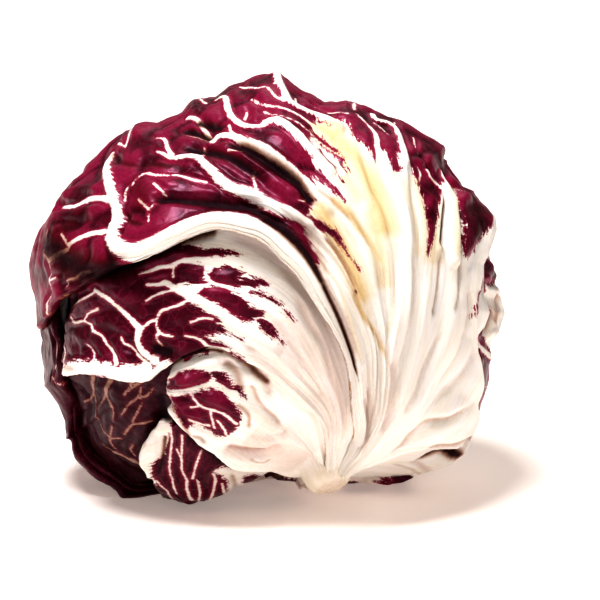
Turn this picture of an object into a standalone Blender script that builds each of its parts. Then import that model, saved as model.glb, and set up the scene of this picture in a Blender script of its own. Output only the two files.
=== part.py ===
"""Radicchio head: wrapper leaves, nested heart leaves and core, in metres with +Z up.

The head is a lumpy ball standing on a small flat spot. Every leaf is one thin sheet
lofted through a few rails that run from the stem end outwards, then thickened inwards.
A rail point is (across, up, side, inset) in millimetres: across and up are measured
from the middle of the head in a plane tilted back by TILT_DEG, side is +1 for the near
half, -1 for the far half and 0 for the rim between them, and inset is how deep the
leaf lies under the outermost surface. The first point of a rail sits close to the core.
"""

import math

import bmesh
import bpy
import numpy as np

MM = 0.001

# ---- driving dimensions -------------------------------------------------------------
TILT_DEG = 15.0
HEAD_RADIUS = 60.0
HEAD_HALF_DEPTH = 58.0
HEAD_CENTRE = (0.98, -0.14, 55.4)
# radius of the rim every 22.5 degrees, from the right-hand side round over the top
RIM_RADII = (64.0, 65.0, 62.0, 58.5, 60.0, 56.5, 59.5, 63.8,
             65.0, 66.5, 69.0, 68.0, 60.0, 59.5, 66.5, 65.5)
WRAPPER_THICKNESS = 1.2
HEART_THICKNESS = 1.1
BUTT_DIRECTION = (0.30, -0.88, 0.37)
STEM_GAP = 1.6
# (distance from the middle of the head, radius) from the cut end to the growing tip
CORE_PROFILE = ((58.6, 0.0), (58.6, 5.2), (57.6, 6.4), (54.0, 6.9), (46.0, 6.6),
                (36.0, 5.6), (26.0, 4.4), (18.0, 3.0), (14.5, 1.4), (14.0, 0.0))
CORE_SEGMENTS = 24

# ---- the wrapper leaves ---------------------------------------------------------------
# Each rail starts with (turn about the core in degrees, inset) on a ring close round the
# core; turn 0 is towards the left, 90 towards the far side, 180 right and 270 near.
FRONT_WRAPPER = (
    ((190, 0), (36, -44.5, 1, 0), (47, -41.5, 1, 0), (56, -33, 1, 0), (59, -18, 1, 0), (60, -3, 1, 0),
     (61.5, 10, 1, 0), (63, 22, 0, 0), (56, 26, -1, 0)),
    ((199, 0), (33, -41, 1, 0), (42, -30, 1, 0), (48, -12, 1, 0), (52, 10, 1, 0), (52, 27, 1, 0),
     (49, 37, 0, 0), (40, 31, -1, 0)),
    ((210, 0), (30.5, -39, 1, 0), (35, -25, 1, 0), (38, 0, 1, 0), (36, 20, 1, 0), (30, 38, 1, 0),
     (23, 53, 0, 0), (18, 34, -1, 0)),
    ((221, 0), (28.5, -39, 1, 0), (31.5, -28, 1, 0), (31, -10, 1, 0), (24, 10, 1, 0), (8, 32, 1, 0),
     (-8, 48, 1, 0), (-14, 56, 0, 0), (-8, 32, -1, 0)),
    ((229, 0.3), (27.4, -39, 1, 0.4), (29.5, -28, 1, 0.5), (28.5, -12, 1, 0.9), (21, 5, 1, 1.0),
     (7, 19, 1, 1.0), (-12, 26, 1, 1.0), (-30, 33, 1, 0), (-42, 42, 0, 0), (-32, 26, -1, 0)),
    ((236, 0), (26.2, -39, 1, 0), (27.4, -28, 1, -0.6), (25.6, -12, 1, -1.8), (17, 4, 1, -2.6),
     (2, 17, 1, -2.8), (-13, 20, 1, -2.8), (-26, 14, 1, -2.6), (-36, 12, 1, -1.6),
     (-50, 12, 1, -0.4), (-63, 12, 0, 0), (-50, 16, -1, 0)),
    ((243, 0.3), (25, -39, 1, 0.4), (25.4, -28, 1, 0.2), (22.6, -11, 1, -0.6), (13, 3, 1, -1.2),
     (0, 13.5, 1, -1.2), (-12, 16, 1, -1.2), (-24, 10.5, 1, -1), (-35, 8, 1, -0.6),
     (-47, 2, 1, 0), (-57, -4, 1, 0), (-64, -9, 0, 0), (-58, 4, -1, 0)),
)
MIDDLE_WRAPPER = (
    ((236, 3.2), (26, -36, 1, 3.2), (27.5, -20, 1, 3.6), (20, 3, 1, 3.8), (5, 19, 1, 3.8),
     (-14, 24, 1, 3.8), (-30, 20, 1, 3.8), (-43, 13, 1, 3.6), (-55, 6, 1, 3.4)),
    ((249, 3.2), (20.5, -36, 1, 3.2), (17, -24, 1, 3.6), (4, -4, 1, 3.8), (-18, 3, 1, 3.8),
     (-38, 2, 1, 3.6), (-56, -3, 1, 3.4)),
    ((258, 3.2), (18, -36, 1, 3.2), (13, -28, 1, 3.6), (-2, -14, 1, 3.8), (-18, -8, 1, 3.8),
     (-38, -9, 1, 3.6), (-57, -12, 1, 3.4)),
    ((267, 3.2), (16, -37, 1, 3.2), (10, -31, 1, 3.4), (0, -23, 1, 3.6), (-12, -16, 1, 3.4),
     (-26, -19, 1, 2.6), (-41, -20.5, 1, 2.4), (-55, -20, 1, 3.0)),
)
LOWER_WRAPPER = (
    ((263, 6.4), (13, -36, 1, 6.4), (6, -28, 1, 6.4), (-4, -19, 1, 6.4), (-16, -17, 1, 6.2),
     (-26, -20, 1, 5.4)),
    ((276, 6.2), (10, -38, 1, 6.0), (3, -33.5, 1, 5.4), (-8, -27, 1, 4.8), (-18, -25, 1, 4.4),
     (-27.5, -26, 1, 4.4)),
    ((289, 6.0), (9, -42, 1, 5.6), (1, -40, 1, 4.6), (-8, -36, 1, 4.0), (-18, -33, 1, 3.8),
     (-26, -30, 1, 4.0)),
    ((303, 5.8), (7, -47, 1, 5.0), (0, -48, 1, 4.2), (-8, -46.5, 1, 3.4), (-15, -42, 1, 3.2),
     (-22, -36, 1, 3.4), (-25.5, -32, 1, 3.8)),
)
BOTTOM_WRAPPER = (
    ((286, 9.4), (4, -41, 1, 9.2), (-5, -40, 1, 8.4), (-14, -38, 1, 7.4), (-23, -36.5, 1, 6.6),
     (-30, -36, 1, 5.6)),
    ((299, 9.2), (2, -45, 1, 8.8), (-6, -46, 1, 7.4), (-16, -46, 1, 6.0), (-26, -45, 1, 4.8),
     (-35, -45, 1, 4.0)),
    ((309, 9.0), (0, -48.5, 1, 8.2), (-6, -50.5, 1, 6.6), (-14, -53, 1, 4.6), (-24, -52.5, 1, 3.4),
     (-32, -51.5, 1, 3.2)),
    ((318, 9.0), (-4, -53, 1, 6.2), (-11, -57, 1, 3.2), (-20, -59, 1, 2.2),
     (-29, -58, 1, 2.4)),
)
POCKET_WRAPPER = (
    ((280, 12.4), (2, -34, 1, 12.4), (-10, -25, 1, 11.4), (-24, -17, 1, 9.4), (-40, -14, 1, 7.6),
     (-52, -12, 1, 7.2)),
    ((293, 12.4), (-1, -38, 1, 12.2), (-13, -33, 1, 11.2), (-28, -28, 1, 8.6), (-43, -25, 1, 6.4),
     (-55, -23, 1, 5.6)),
    ((306, 12.4), (-2, -42, 1, 12.0), (-14, -40, 1, 11.2), (-28, -38, 1, 8.6), (-42, -37, 1, 6.0),
     (-52, -33, 1, 4.4)),
    ((320, 12.4), (-4, -45, 1, 11.8), (-14, -46.5, 1, 10.6), (-26, -48, 1, 8.4), (-38, -50, 1, 6.0),
     (-46, -46, 1, 4.4)),
)
LEFT_WRAPPER = (
    ((2, 6.6), (1, -54, 1, 6.8), (-8, -56.5, 1, 6.2), (-20, -58.5, 1, 4.8), (-30, -57.5, 1, 4.4),
     (-37, -56, 1, 1.8), (-41, -53.5, 1, 0.2), (-47.5, -46.5, 1, 0), (-53, -37, 1, 0), (-57.6, -26, 1, 0.6),
     (-59.4, -17, 1, 2.0), (-60.4, -8, 1, 2.4), (-60.8, 2, 1, 2.4), (-63, 10, 0, 2.4)),
    ((38, 5.4), (4, -51, -1, 5.2), (-10, -51, -1, 4.4), (-30, -47, -1, 2.6), (-45, -38, -1, 0.4),
     (-56, -22, -1, 0.2), (-60, -4, -1, 1.8), (-59, 12, -1, 2.4)),
    ((66, 5.4), (6, -44, -1, 5.4), (-10, -40, -1, 4.6), (-26, -34, -1, 2.8), (-38, -22, -1, 0.6),
     (-46, -6, -1, 0.4), (-49, 8, -1, 1.8), (-47, 22, -1, 2.4)),
)
UNDER_WRAPPER = (
    ((14, 2.0), (5, -55, 1, 0.5), (-5, -57.5, 1, 0), (-15, -59, 0, 0), (-24, -54, -1, 0),
     (-29, -43, -1, 0)),
    ((48, 1.8), (9, -56, 0, 0.3), (3, -56, -1, 0), (-4, -52, -1, 0), (-10, -44, -1, 0), (-13, -36, -1, 0)),
    ((80, 1.8), (19, -55, 0, 0.3), (19, -52, -1, 0), (15, -47, -1, 0), (11, -40, -1, 0), (7, -33, -1, 0)),
    ((104, 1.8), (27, -53, 0, 0.3), (30, -49, -1, 0), (30, -43, -1, 0), (28, -37, -1, 0),
     (24, -30, -1, 0)),
)
RIGHT_ROLL = (
    ((197, 2.6), (34, -43, 1, 2.6), (42, -41, 1, 2.6), (50, -36, 1, 2.6), (55, -31, 1, 2.6)),
    ((177, 2.2), (35, -47, 1, 1.6), (43, -45, 1, 1.0), (52, -41, 1, 0.4), (58, -36, 0, 0.4)),
    ((142, 2.0), (33, -50, 0, 1.4), (42, -49, 0, 0.8), (51, -43.5, 0, 0.2), (57, -36, -1, 0.4)),
    ((122, 2.2), (35, -48.5, -1, 1.6), (41, -46, -1, 1.0), (49, -38, -1, 0.6), (53, -31, -1, 0.8)),
)
RIGHT_WRAPPER = (
    ((206, 6.0), (34, -39.5, 1, 5.6), (42, -37, 1, 5.4), (50.5, -27, 1, 5.0), (54.5, -13, 1, 3.2),
     (56, 0, 1, 2.6), (58, 12, 1, 2.6), (60, 22, 0, 2.6)),
    ((156, 5.8), (33, -46, 0, 5.6), (44, -42, 0, 5.2), (55, -33, 0, 4.4), (61, -18, 0, 1.8),
     (63, 0, 0, 1.0), (60, 12, -1, 1.4), (55, 23, -1, 2.6)),
    ((122, 5.8), (32, -42, -1, 5.6), (40, -36, -1, 4.6), (48, -24, -1, 2.0), (51, -8, -1, 0.8),
     (49, 10, -1, 1.2), (42, 25, -1, 2.6)),
    ((98, 5.8), (25, -39, -1, 5.6), (31, -31, -1, 3.8), (35, -20, -1, 1.0), (36, -4, -1, 0.8),
     (33, 14, -1, 1.2), (27, 29, -1, 2.6)),
)
BACK_WRAPPER = (
    ((44, 8.6), (0, -44, -1, 8.0), (-18, -35, -1, 6.8), (-34, -23, -1, 4.6), (-46, -8, -1, 3.6),
     (-48, 10, -1, 4.6), (-42, 27, -1, 5.2)),
    ((60, 8.6), (6, -41, -1, 7.4), (-8, -27, -1, 5.4), (-20, -10, -1, 2.8), (-24, 12, -1, 2.6),
     (-24, 33, -1, 5.2)),
    ((76, 8.6), (12, -38, -1, 7.4), (6, -25, -1, 4.4), (2, -6, -1, 1.6), (0, 16, -1, 1.8),
     (-4, 37, -1, 5.2)),
    ((92, 8.6), (19, -36, -1, 8.0), (20, -24, -1, 5.2), (22, -6, -1, 2.8), (20, 14, -1, 2.8),
     (14, 35, -1, 5.2)),
    ((108, 8.8), (27, -34, -1, 8.4), (34, -23, -1, 5.2), (41, -6, -1, 4.0), (39, 14, -1, 4.2),
     (31, 31, -1, 5.4)),
)

# name -> (rails, steps between neighbouring rails, steps along a rail)
WRAPPERS = {
    "leaf_front_wrapper": (FRONT_WRAPPER, 2, 18),
    "leaf_middle_wrapper": (MIDDLE_WRAPPER, 3, 14),
    "leaf_lower_wrapper": (LOWER_WRAPPER, 2, 8),
    "leaf_bottom_wrapper": (BOTTOM_WRAPPER, 2, 8),
    "leaf_pocket_wrapper": (POCKET_WRAPPER, 2, 10),
    "leaf_left_wrapper": (LEFT_WRAPPER, 4, 16),
    "leaf_under_wrapper": (UNDER_WRAPPER, 5, 16),
    "leaf_right_roll": (RIGHT_ROLL, 2, 8),
    "leaf_right_wrapper": (RIGHT_WRAPPER, 3, 14),
    "leaf_back_wrapper": (BACK_WRAPPER, 2, 12),
}

# ---- the heart leaves: (inset, turn about the core in degrees, half width, reach) ------
HEART_LEAVES = (
    (15.4, 100.0, 112.0, 150.0),
    (18.6, 238.0, 112.0, 152.0),
    (21.8, 15.0, 110.0, 150.0),
    (25.0, 152.0, 108.0, 150.0),
    (28.4, 290.0, 106.0, 148.0),
    (32.0, 67.0, 104.0, 146.0),
    (36.0, 205.0, 102.0, 142.0),
    (40.4, 342.0, 100.0, 136.0),
    (45.0, 120.0, 98.0, 128.0),
)
HEART_STEPS_ACROSS = 12
HEART_STEPS_ALONG = 9

SLOT_COLOURS = {
    "red_leaf": (0.16, 0.012, 0.035, 1.0),
    "heart_leaf": (0.62, 0.45, 0.40, 1.0),
    "core": (0.80, 0.74, 0.58, 1.0),
}


def view_axes():
    """Return the across, up and near directions of the tilted plane the rails use."""
    tilt = math.radians(TILT_DEG)
    across = np.array((1.0, 0.0, 0.0))
    up = np.array((0.0, math.sin(tilt), math.cos(tilt)))
    near = np.array((0.0, -math.cos(tilt), math.sin(tilt)))
    return across, up, near


def rim_radius(angle):
    """Radius of the rim in millimetres at an angle in radians."""
    step = 2.0 * math.pi / len(RIM_RADII)
    place = (angle % (2.0 * math.pi)) / step
    index = int(place)
    return cubic([RIM_RADII[(index + k - 1) % len(RIM_RADII)] for k in range(4)], place - index)


def cubic(four, t):
    """Smooth value between the middle two of four values, t running from 0 to 1."""
    before, start, end, after = four
    slope_in = (end - before) * 0.5
    slope_out = (after - start) * 0.5
    return ((2 * t**3 - 3 * t**2 + 1) * start + (t**3 - 2 * t**2 + t) * slope_in
            + (3 * t**2 - 2 * t**3) * end + (t**3 - t**2) * slope_out)


def curve_at(points, t):
    """Point on the smooth curve through points, t running from 0 to 1."""
    place = min(max(t, 0.0), 1.0) * (len(points) - 1)
    index = min(int(place), len(points) - 2)
    first = 2 * points[0] - points[1]
    last = 2 * points[-1] - points[-2]
    padded = [first, *points, last]
    return cubic(padded[index:index + 4], place - index)


def rail_vector(point):
    """Turn a rail point into (direction in the head's own ball, inset)."""
    across, up, side, inset = point
    scale = 1.0 - inset / HEAD_RADIUS
    angle = math.atan2(up, across)
    share = math.hypot(across, up) / (scale * rim_radius(angle))
    if side == 0:
        share = 1.0
    share = min(share, 0.9995)
    depth = side * math.sqrt(1.0 - share**2)
    return np.array((share * math.cos(angle), share * math.sin(angle), depth, inset))


def ball_point(direction, inset):
    """Position in millimetres of a direction on the head, inset below its surface."""
    across, up, near = view_axes()
    direction = direction / np.linalg.norm(direction)
    radius = rim_radius(math.atan2(direction[1], direction[0]))
    offset = (radius * direction[0] * across + radius * direction[1] * up
              + HEAD_HALF_DEPTH * direction[2] * near)
    if offset[2] < -HEAD_CENTRE[2]:
        offset = offset * (HEAD_CENTRE[2] / -offset[2])
    place = np.array(HEAD_CENTRE) + offset * (1.0 - inset / HEAD_RADIUS)
    place[2] = max(place[2], 0.0)
    return place


def stem_vector(turn, inset):
    """Turn a start on the ring round the core into (direction, inset)."""
    butt, first, second = butt_axes()
    distance = HEAD_RADIUS - inset
    away = math.asin(min((core_radius(distance) + STEM_GAP) / distance, 0.9))
    spoke = math.cos(math.radians(turn)) * first + math.sin(math.radians(turn)) * second
    direction = math.cos(away) * butt + math.sin(away) * spoke
    return np.array((*direction, inset))


def lengths_along(points):
    """Share of the whole length reached at each point, from 0 to 1."""
    steps = [np.linalg.norm(b[:3] - a[:3]) for a, b in zip(points[:-1], points[1:])]
    total = sum(steps)
    return np.array([0.0, *np.cumsum(steps)]) / total


def spread_rail(rail, steps):
    """Resample one rail into steps + 1 evenly spaced vectors."""
    vectors = [stem_vector(*rail[0]), *(rail_vector(point) for point in rail[1:])]
    fine = [curve_at(vectors, k / 200) for k in range(201)]
    share = lengths_along(fine)
    wanted = np.linspace(0.0, 1.0, steps + 1)
    return [np.array([np.interp(w, share, [f[i] for f in fine]) for i in range(4)]) for w in wanted]


def wrapper_grid(rails, between, along):
    """Loft a leaf through its rails: rows of positions from one side margin to the other."""
    spread = [spread_rail(rail, along) for rail in rails]
    rows = []
    for k in range(between * (len(rails) - 1) + 1):
        t = k / (between * (len(rails) - 1))
        row = [curve_at([rail[j] for rail in spread], t) for j in range(along + 1)]
        rows.append([ball_point(v[:3], v[3]) for v in row])
    return rows


def core_radius(distance):
    """Radius of the core at a distance from the middle of the head."""
    widest = max(CORE_PROFILE[1:-1], key=lambda place: place[1])
    taper = [place for place in reversed(CORE_PROFILE[1:-1]) if place[0] <= widest[0]]
    return float(np.interp(distance, [place[0] for place in taper], [place[1] for place in taper]))


def butt_axes():
    """Return the stem direction in the head's own ball and two directions square to it."""
    butt = np.array(BUTT_DIRECTION) / np.linalg.norm(BUTT_DIRECTION)
    first = np.cross(butt, np.array((0.0, 0.0, 1.0)))
    first = first / np.linalg.norm(first)
    return butt, first, np.cross(butt, first)


def heart_grid(inset, turn, half_width, reach):
    """Rows of positions of one cupped heart leaf that starts at the core."""
    butt, first, second = butt_axes()
    distance = HEAD_RADIUS - inset
    start = math.asin(min((core_radius(distance) + STEM_GAP) / distance, 0.9))
    rows = []
    for i in range(HEART_STEPS_ACROSS + 1):
        share = 2.0 * i / HEART_STEPS_ACROSS - 1.0
        tip = math.radians(reach) * (1.0 - 0.16 * share**2)
        row = []
        for j in range(HEART_STEPS_ALONG + 1):
            along = j / HEART_STEPS_ALONG
            width = half_width * (0.72 + 0.28 * math.sin(math.pi * along))
            turned = math.radians(turn + width * share)
            theta = start + (tip - start) * along
            spoke = math.cos(turned) * first + math.sin(turned) * second
            row.append(ball_point(math.cos(theta) * butt + math.sin(theta) * spoke, inset))
        rows.append(row)
    return rows


def sheet_object(name, rows, thickness):
    """Make a leaf from rows of positions: an open sheet thickened inwards."""
    mesh = bpy.data.meshes.new(name)
    bm = bmesh.new()
    grid = [[bm.verts.new(point * MM) for point in row] for row in rows]
    for lower, upper in zip(grid[:-1], grid[1:]):
        for j in range(len(lower) - 1):
            bm.faces.new((lower[j], lower[j + 1], upper[j + 1], upper[j]))
    bmesh.ops.recalc_face_normals(bm, faces=bm.faces)
    middle = np.array(HEAD_CENTRE) * MM
    face = bm.faces[:][len(bm.faces) // 2]
    if face.normal.dot(face.calc_center_median() - type(face.normal)(middle)) < 0.0:
        bmesh.ops.reverse_faces(bm, faces=bm.faces)
    bm.to_mesh(mesh)
    bm.free()
    obj = bpy.data.objects.new(name, mesh)
    solid = obj.modifiers.new("Thickness", "SOLIDIFY")
    solid.thickness = thickness * MM
    solid.offset = -1.0
    solid.use_even_offset = True
    return obj


def core_object(name):
    """Make the core as one turned solid along the stem direction."""
    mesh = bpy.data.meshes.new(name)
    bm = bmesh.new()
    _, up, near = view_axes()
    butt = np.array(BUTT_DIRECTION) / np.linalg.norm(BUTT_DIRECTION)
    axis = butt[0] * view_axes()[0] + butt[1] * up + butt[2] * near
    side = np.cross(axis, near)
    side = side / np.linalg.norm(side)
    other = np.cross(axis, side)
    middle = np.array(HEAD_CENTRE)
    ends = [bm.verts.new((middle + axis * CORE_PROFILE[k][0]) * MM) for k in (0, -1)]
    rings = []
    for distance, radius in CORE_PROFILE[1:-1]:
        ring = []
        for k in range(CORE_SEGMENTS):
            turn = 2.0 * math.pi * k / CORE_SEGMENTS
            spoke = math.cos(turn) * side + math.sin(turn) * other
            ring.append(bm.verts.new((middle + axis * distance + spoke * radius) * MM))
        rings.append(ring)
    for k in range(CORE_SEGMENTS):
        after = (k + 1) % CORE_SEGMENTS
        bm.faces.new((ends[0], rings[0][k], rings[0][after]))
        bm.faces.new((ends[1], rings[-1][after], rings[-1][k]))
        for lower, upper in zip(rings[:-1], rings[1:]):
            bm.faces.new((lower[k], upper[k], upper[after], lower[after]))
    bmesh.ops.recalc_face_normals(bm, faces=bm.faces)
    bm.to_mesh(mesh)
    bm.free()
    return bpy.data.objects.new(name, mesh)


def material_for(name, slot):
    """Give one piece its own plain material in the colour of its slot."""
    material = bpy.data.materials.new(f"{name}_{slot}")
    material.use_nodes = True
    shader = material.node_tree.nodes["Principled BSDF"]
    shader.inputs["Base Color"].default_value = SLOT_COLOURS[slot]
    shader.inputs["Roughness"].default_value = 0.45
    return material


def main():
    """Clear the scene and build every piece of the head."""
    for old in list(bpy.data.objects):
        bpy.data.objects.remove(old, do_unlink=True)
    head = bpy.data.collections.new("radicchio_head")
    bpy.context.scene.collection.children.link(head)
    pieces = []
    for name, (rails, between, along) in WRAPPERS.items():
        obj = sheet_object(name, wrapper_grid(rails, between, along), WRAPPER_THICKNESS)
        pieces.append((obj, "red_leaf"))
    for number, leaf in enumerate(HEART_LEAVES, start=1):
        obj = sheet_object(f"leaf_heart_{number}", heart_grid(*leaf), HEART_THICKNESS)
        pieces.append((obj, "heart_leaf"))
    pieces.append((core_object("core"), "core"))
    for obj, slot in pieces:
        obj.data.materials.append(material_for(obj.name, slot))
        head.objects.link(obj)


main()
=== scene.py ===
"""Looks of the radicchio head: every leaf as a fine, veined and puckered sheet round a core.

The head lies with its stem end low on the near side. Places on it are given in millimetres
about the middle of the head: "across" runs to the right and "up" leans back by TILT_DEG, so
that the plane of the two faces the near side of the head. A place is carried from that plane
onto the head's own lumpy ball, where distances to ribs, veins, patches and folds are measured.
Each leaf is lofted through a few rails that run from the stem end outwards, as in the solid
model, and then gets its folds, its ribs and its colours from the marks listed for it.
"""

import logging
import math
from dataclasses import dataclass, field
from enum import Enum

import bpy
import numpy as np
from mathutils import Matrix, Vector


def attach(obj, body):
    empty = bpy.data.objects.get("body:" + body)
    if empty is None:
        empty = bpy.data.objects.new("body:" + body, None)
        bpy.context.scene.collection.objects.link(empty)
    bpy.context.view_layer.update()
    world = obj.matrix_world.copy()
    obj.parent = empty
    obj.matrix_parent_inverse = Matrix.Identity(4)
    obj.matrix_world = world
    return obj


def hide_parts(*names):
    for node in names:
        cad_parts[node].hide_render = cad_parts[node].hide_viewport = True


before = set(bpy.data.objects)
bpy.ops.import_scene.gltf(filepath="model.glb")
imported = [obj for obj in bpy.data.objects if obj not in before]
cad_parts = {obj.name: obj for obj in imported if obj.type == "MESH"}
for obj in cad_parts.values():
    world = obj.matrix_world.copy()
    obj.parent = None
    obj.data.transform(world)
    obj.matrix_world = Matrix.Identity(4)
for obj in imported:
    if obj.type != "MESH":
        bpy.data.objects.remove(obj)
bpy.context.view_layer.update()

LOG = logging.getLogger("radicchio")

Array = np.ndarray
Socket = bpy.types.NodeSocket
Pair = tuple[float, float]
Triple = tuple[float, float, float]
Line = tuple[float, ...]  # across, up, across, up and so on, in millimetres
Widths = float | tuple[float, ...]  # one width, or several spread evenly along a line

MM = 0.001
TILT_DEG = 15.0
FULL_TURN = 2.0 * math.pi
FAR_AWAY = 6.0  # millimetres from the nearest white or red border that still count


class Ground(Enum):
    """The colour of a leaf before its patches and veins are laid on."""

    RED = -FAR_AWAY
    WHITE = FAR_AWAY


class Tint(Enum):
    """The colour fields that a fold can write to: painted shade, pinkish grey painted shade, ochre brown that
    is partly painted shade, and yellow.
    """

    # painted shade: near black and brown laid in crevices, under overhangs and in hollows
    SHADE = "shade"
    # partly painted shade: ochre brown laid in crevices and on shaded walls; partly the real brown of dried
    # and cut parts
    TAN = "tan"
    YELLOW = "yellow"
    # painted shade: pinkish grey laid in the grooves and lower folds of the cream ribs
    ROSE_SHADE = "rose"

    @property
    def spread(self) -> Pair:
        """How far the tint spreads past its fold, and how much of its strength it keeps."""
        return {SHADE: (1.25, 1.15), TAN: (1.3, 1.0), YELLOW: (1.5, 1.0), ROSE_SHADE: (2.4, 0.7)}[self]


SHADE, TAN, YELLOW, ROSE_SHADE = Tint


@dataclass(frozen=True)
class Vein:
    """A raised white line: its points, its full widths along it and its height over width."""

    points: Line
    widths: Widths
    rise: float = 0.28


@dataclass(frozen=True)
class Streak:
    """A red wedge or strip in white ground: its points and its full widths along it."""

    points: Line
    widths: Widths


@dataclass(frozen=True)
class Fold:
    """A groove (depth above 0) or a crest (below 0), which may lay painted shade or a tint along it."""

    points: Line
    widths: Widths
    depth: float
    tint: Tint | None = None
    strength: float = 1.0
    tint_share: float = 0.7


@dataclass(frozen=True)
class LeafMarks:
    """Everything that is listed for one leaf."""

    ground: Ground = Ground.RED
    white: tuple[Line, ...] = ()
    red: tuple[Line, ...] = ()
    streaks: tuple[Streak, ...] = ()
    veins: tuple[Vein, ...] = ()
    folds: tuple[Fold, ...] = ()


@dataclass(frozen=True)
class RibFan:
    """Ribs that spread from the stem over a part of a leaf without listed marks."""

    ribs: int
    seed: int
    base_width: float = 4.5
    tip_width: float = 0.7
    white_base: float = 16.0
    behind_only: bool = True

    RIB_JITTER = 0.15  # of the gap between two ribs
    RIB_LEAN = 0.10
    LEAN_JITTER = 0.05
    RIB_SWAY = 0.012
    SWAY_PACE = (6.0, 10.0)
    RIB_TAPER = (1.0, 0.55, 0.3)
    FIRST_VEIN = (0.22, 0.3)  # shares of the rib's length
    LAST_VEIN = 0.93
    VEIN_GAP = (0.05, 0.11)
    VEIN_REACH = (9.0, 19.0)  # millimetres
    VEIN_LEAN = (30.0, 52.0)  # degrees from the rib
    VEIN_BEND = (-0.012, 0.03)
    VEIN_JITTER = 0.16
    VEIN_WIDTH = (0.7, 1.4)
    VEIN_TIP = 0.35
    VEIN_STEPS = 10
    FORK_STEPS = (3, 7)
    FORK_TURN = 0.9
    FORK_TIP = 0.25


# ---- the head's own ball ----


@dataclass(frozen=True)
class HeadBall:
    """The lumpy ball that the leaves lie on, in millimetres."""

    radius: float = 60.0
    half_depth: float = 58.0
    centre: Triple = (0.98, -0.14, 55.4)
    # radius of the rim every 22.5 degrees, from the right-hand side round over the top
    rim: tuple[float, ...] = (64.0, 65.0, 62.0, 58.5, 60.0, 56.5, 59.5, 63.8,
                              65.0, 66.5, 69.0, 68.0, 60.0, 59.5, 66.5, 65.5)
    butt_direction: Triple = (0.30, -0.88, 0.37)
    stem_gap: float = 0.8
    # the core's radius at distances from the middle of the head
    core_distances: tuple[float, ...] = (14.5, 18.0, 26.0, 36.0, 46.0, 54.0)
    core_radii: tuple[float, ...] = (1.4, 3.0, 4.4, 5.6, 6.6, 6.9)
    # the uneven outline of the near side, from the right-hand side round over the top
    outline: Line = (64, 0, 63.2, 8, 64.5, 12, 65.2, 17.5, 64.5, 21, 62.3, 23, 60, 25, 58, 28, 55, 29.5,
        52, 32.5, 50, 35, 49, 40, 46.5, 42, 40, 46, 35, 48.3, 30, 50, 25.5, 52.6, 23, 53.3, 20, 53,
        16.5, 53, 13, 54.8, 10, 56, 7, 58, 5, 59.7, 0, 60.3, -4, 59.5, -6, 58.3, -10, 57.3, -14, 54.5,
        -20, 54.2, -21, 53, -23, 50, -25, 49, -30, 47, -33, 47.3, -37, 46.5, -43, 41.5, -46, 37.5, -50, 33,
        -53, 31, -58, 25.5, -61.6, 19.5, -63.8, 12, -64.4, 7.5, -63.6, 0, -63.5, -10, -62, -15, -61.3, -22,
        -62, -26.5, -57.5, -31.5, -55.3, -36, -55.3, -41, -54, -41, -52.5, -46, -50.5, -48.5, -47.5, -50.5,
        -43, -54.8, -38, -59.5, -30, -61, 0, -60, 30, -53, 45, -50, 55.5, -45.5, 58.4, -40, 60, -35.5,
        60.4, -31.5, 62.2, -26, 62.6, -14, 64.6, -11, 66.2, -6, 64.8, 0)

    EDGE_BAND = (0.80, 1.0)  # where the uneven outline fades in, as shares of the rim
    PAST_RIM = 4.0  # how fast a place past the rim goes on round the far side
    LAST_SHARE = 0.9995
    WIDEST_START = 0.9

    def outline_gain(self, angle: Array) -> Array:
        """Compare the uneven outline with the smooth rim.

        Args:
            angle: Angles in radians from the right-hand side.

        Returns:
            The outline's radius over the rim's.
        """
        across, up = np.array(self.outline).reshape(-1, 2).T
        turns = np.unwrap(np.arctan2(up, across))
        gain = np.hypot(across, up) / self.rim_radius(turns)
        return np.interp(np.asarray(angle) % FULL_TURN, turns, gain, period=FULL_TURN)

    @property
    def axes(self) -> tuple[Array, Array, Array]:
        """The across, up and near directions."""
        sine, cosine = math.sin(math.radians(TILT_DEG)), math.cos(math.radians(TILT_DEG))
        return np.array((1.0, 0.0, 0.0)), np.array((0.0, sine, cosine)), np.array((0.0, -cosine, sine))

    def rim_radius(self, angle: Array) -> Array:
        """Read the radius of the rim.

        Args:
            angle: Angles in radians from the right-hand side.

        Returns:
            Radii in millimetres.
        """
        count = len(self.rim)
        place = (np.asarray(angle) % FULL_TURN) * count / FULL_TURN
        index = place.astype(int)
        radii = np.array(self.rim)
        return cubic([radii[(index + k - 1) % count] for k in range(4)], place - index)

    def lift(self, points: Array) -> Array:
        """Carry places in the near plane onto the ball; a place past the rim goes on round it.

        Args:
            points: Rows of (across, up) in millimetres.

        Returns:
            Rows of unit directions in the ball.
        """
        angle = np.arctan2(points[:, 1], points[:, 0])
        share = np.hypot(points[:, 0], points[:, 1]) / self.rim_radius(angle)
        theta = np.arcsin(np.minimum(share, 1.0)) + np.maximum(share - 1.0, 0.0) * self.PAST_RIM
        return np.stack((np.sin(theta) * np.cos(angle), np.sin(theta) * np.sin(angle), np.cos(theta)), axis=1)

    def flat_map(self, directions: Array) -> Array:
        """Spread the ball flat round the middle of its near side.

        Args:
            directions: Rows of unit directions.

        Returns:
            Rows of plane places, evenly spaced along any line through the middle.
        """
        theta = np.arccos(np.clip(directions[:, 2], -1.0, 1.0))
        angle = np.arctan2(directions[:, 1], directions[:, 0])
        return np.stack((theta * np.cos(angle), theta * np.sin(angle)), axis=1) * self.radius

    def bare_place(self, directions: Array) -> Array:
        """Place directions on the ball's surface, as if nothing flattened it.

        Args:
            directions: Unit directions.

        Returns:
            Positions in millimetres along the ball's own axes.
        """
        radius = self.rim_radius(np.arctan2(directions[..., 1], directions[..., 0]))
        return np.stack((radius * directions[..., 0], radius * directions[..., 1],
                         self.half_depth * directions[..., 2]), axis=-1)

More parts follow.
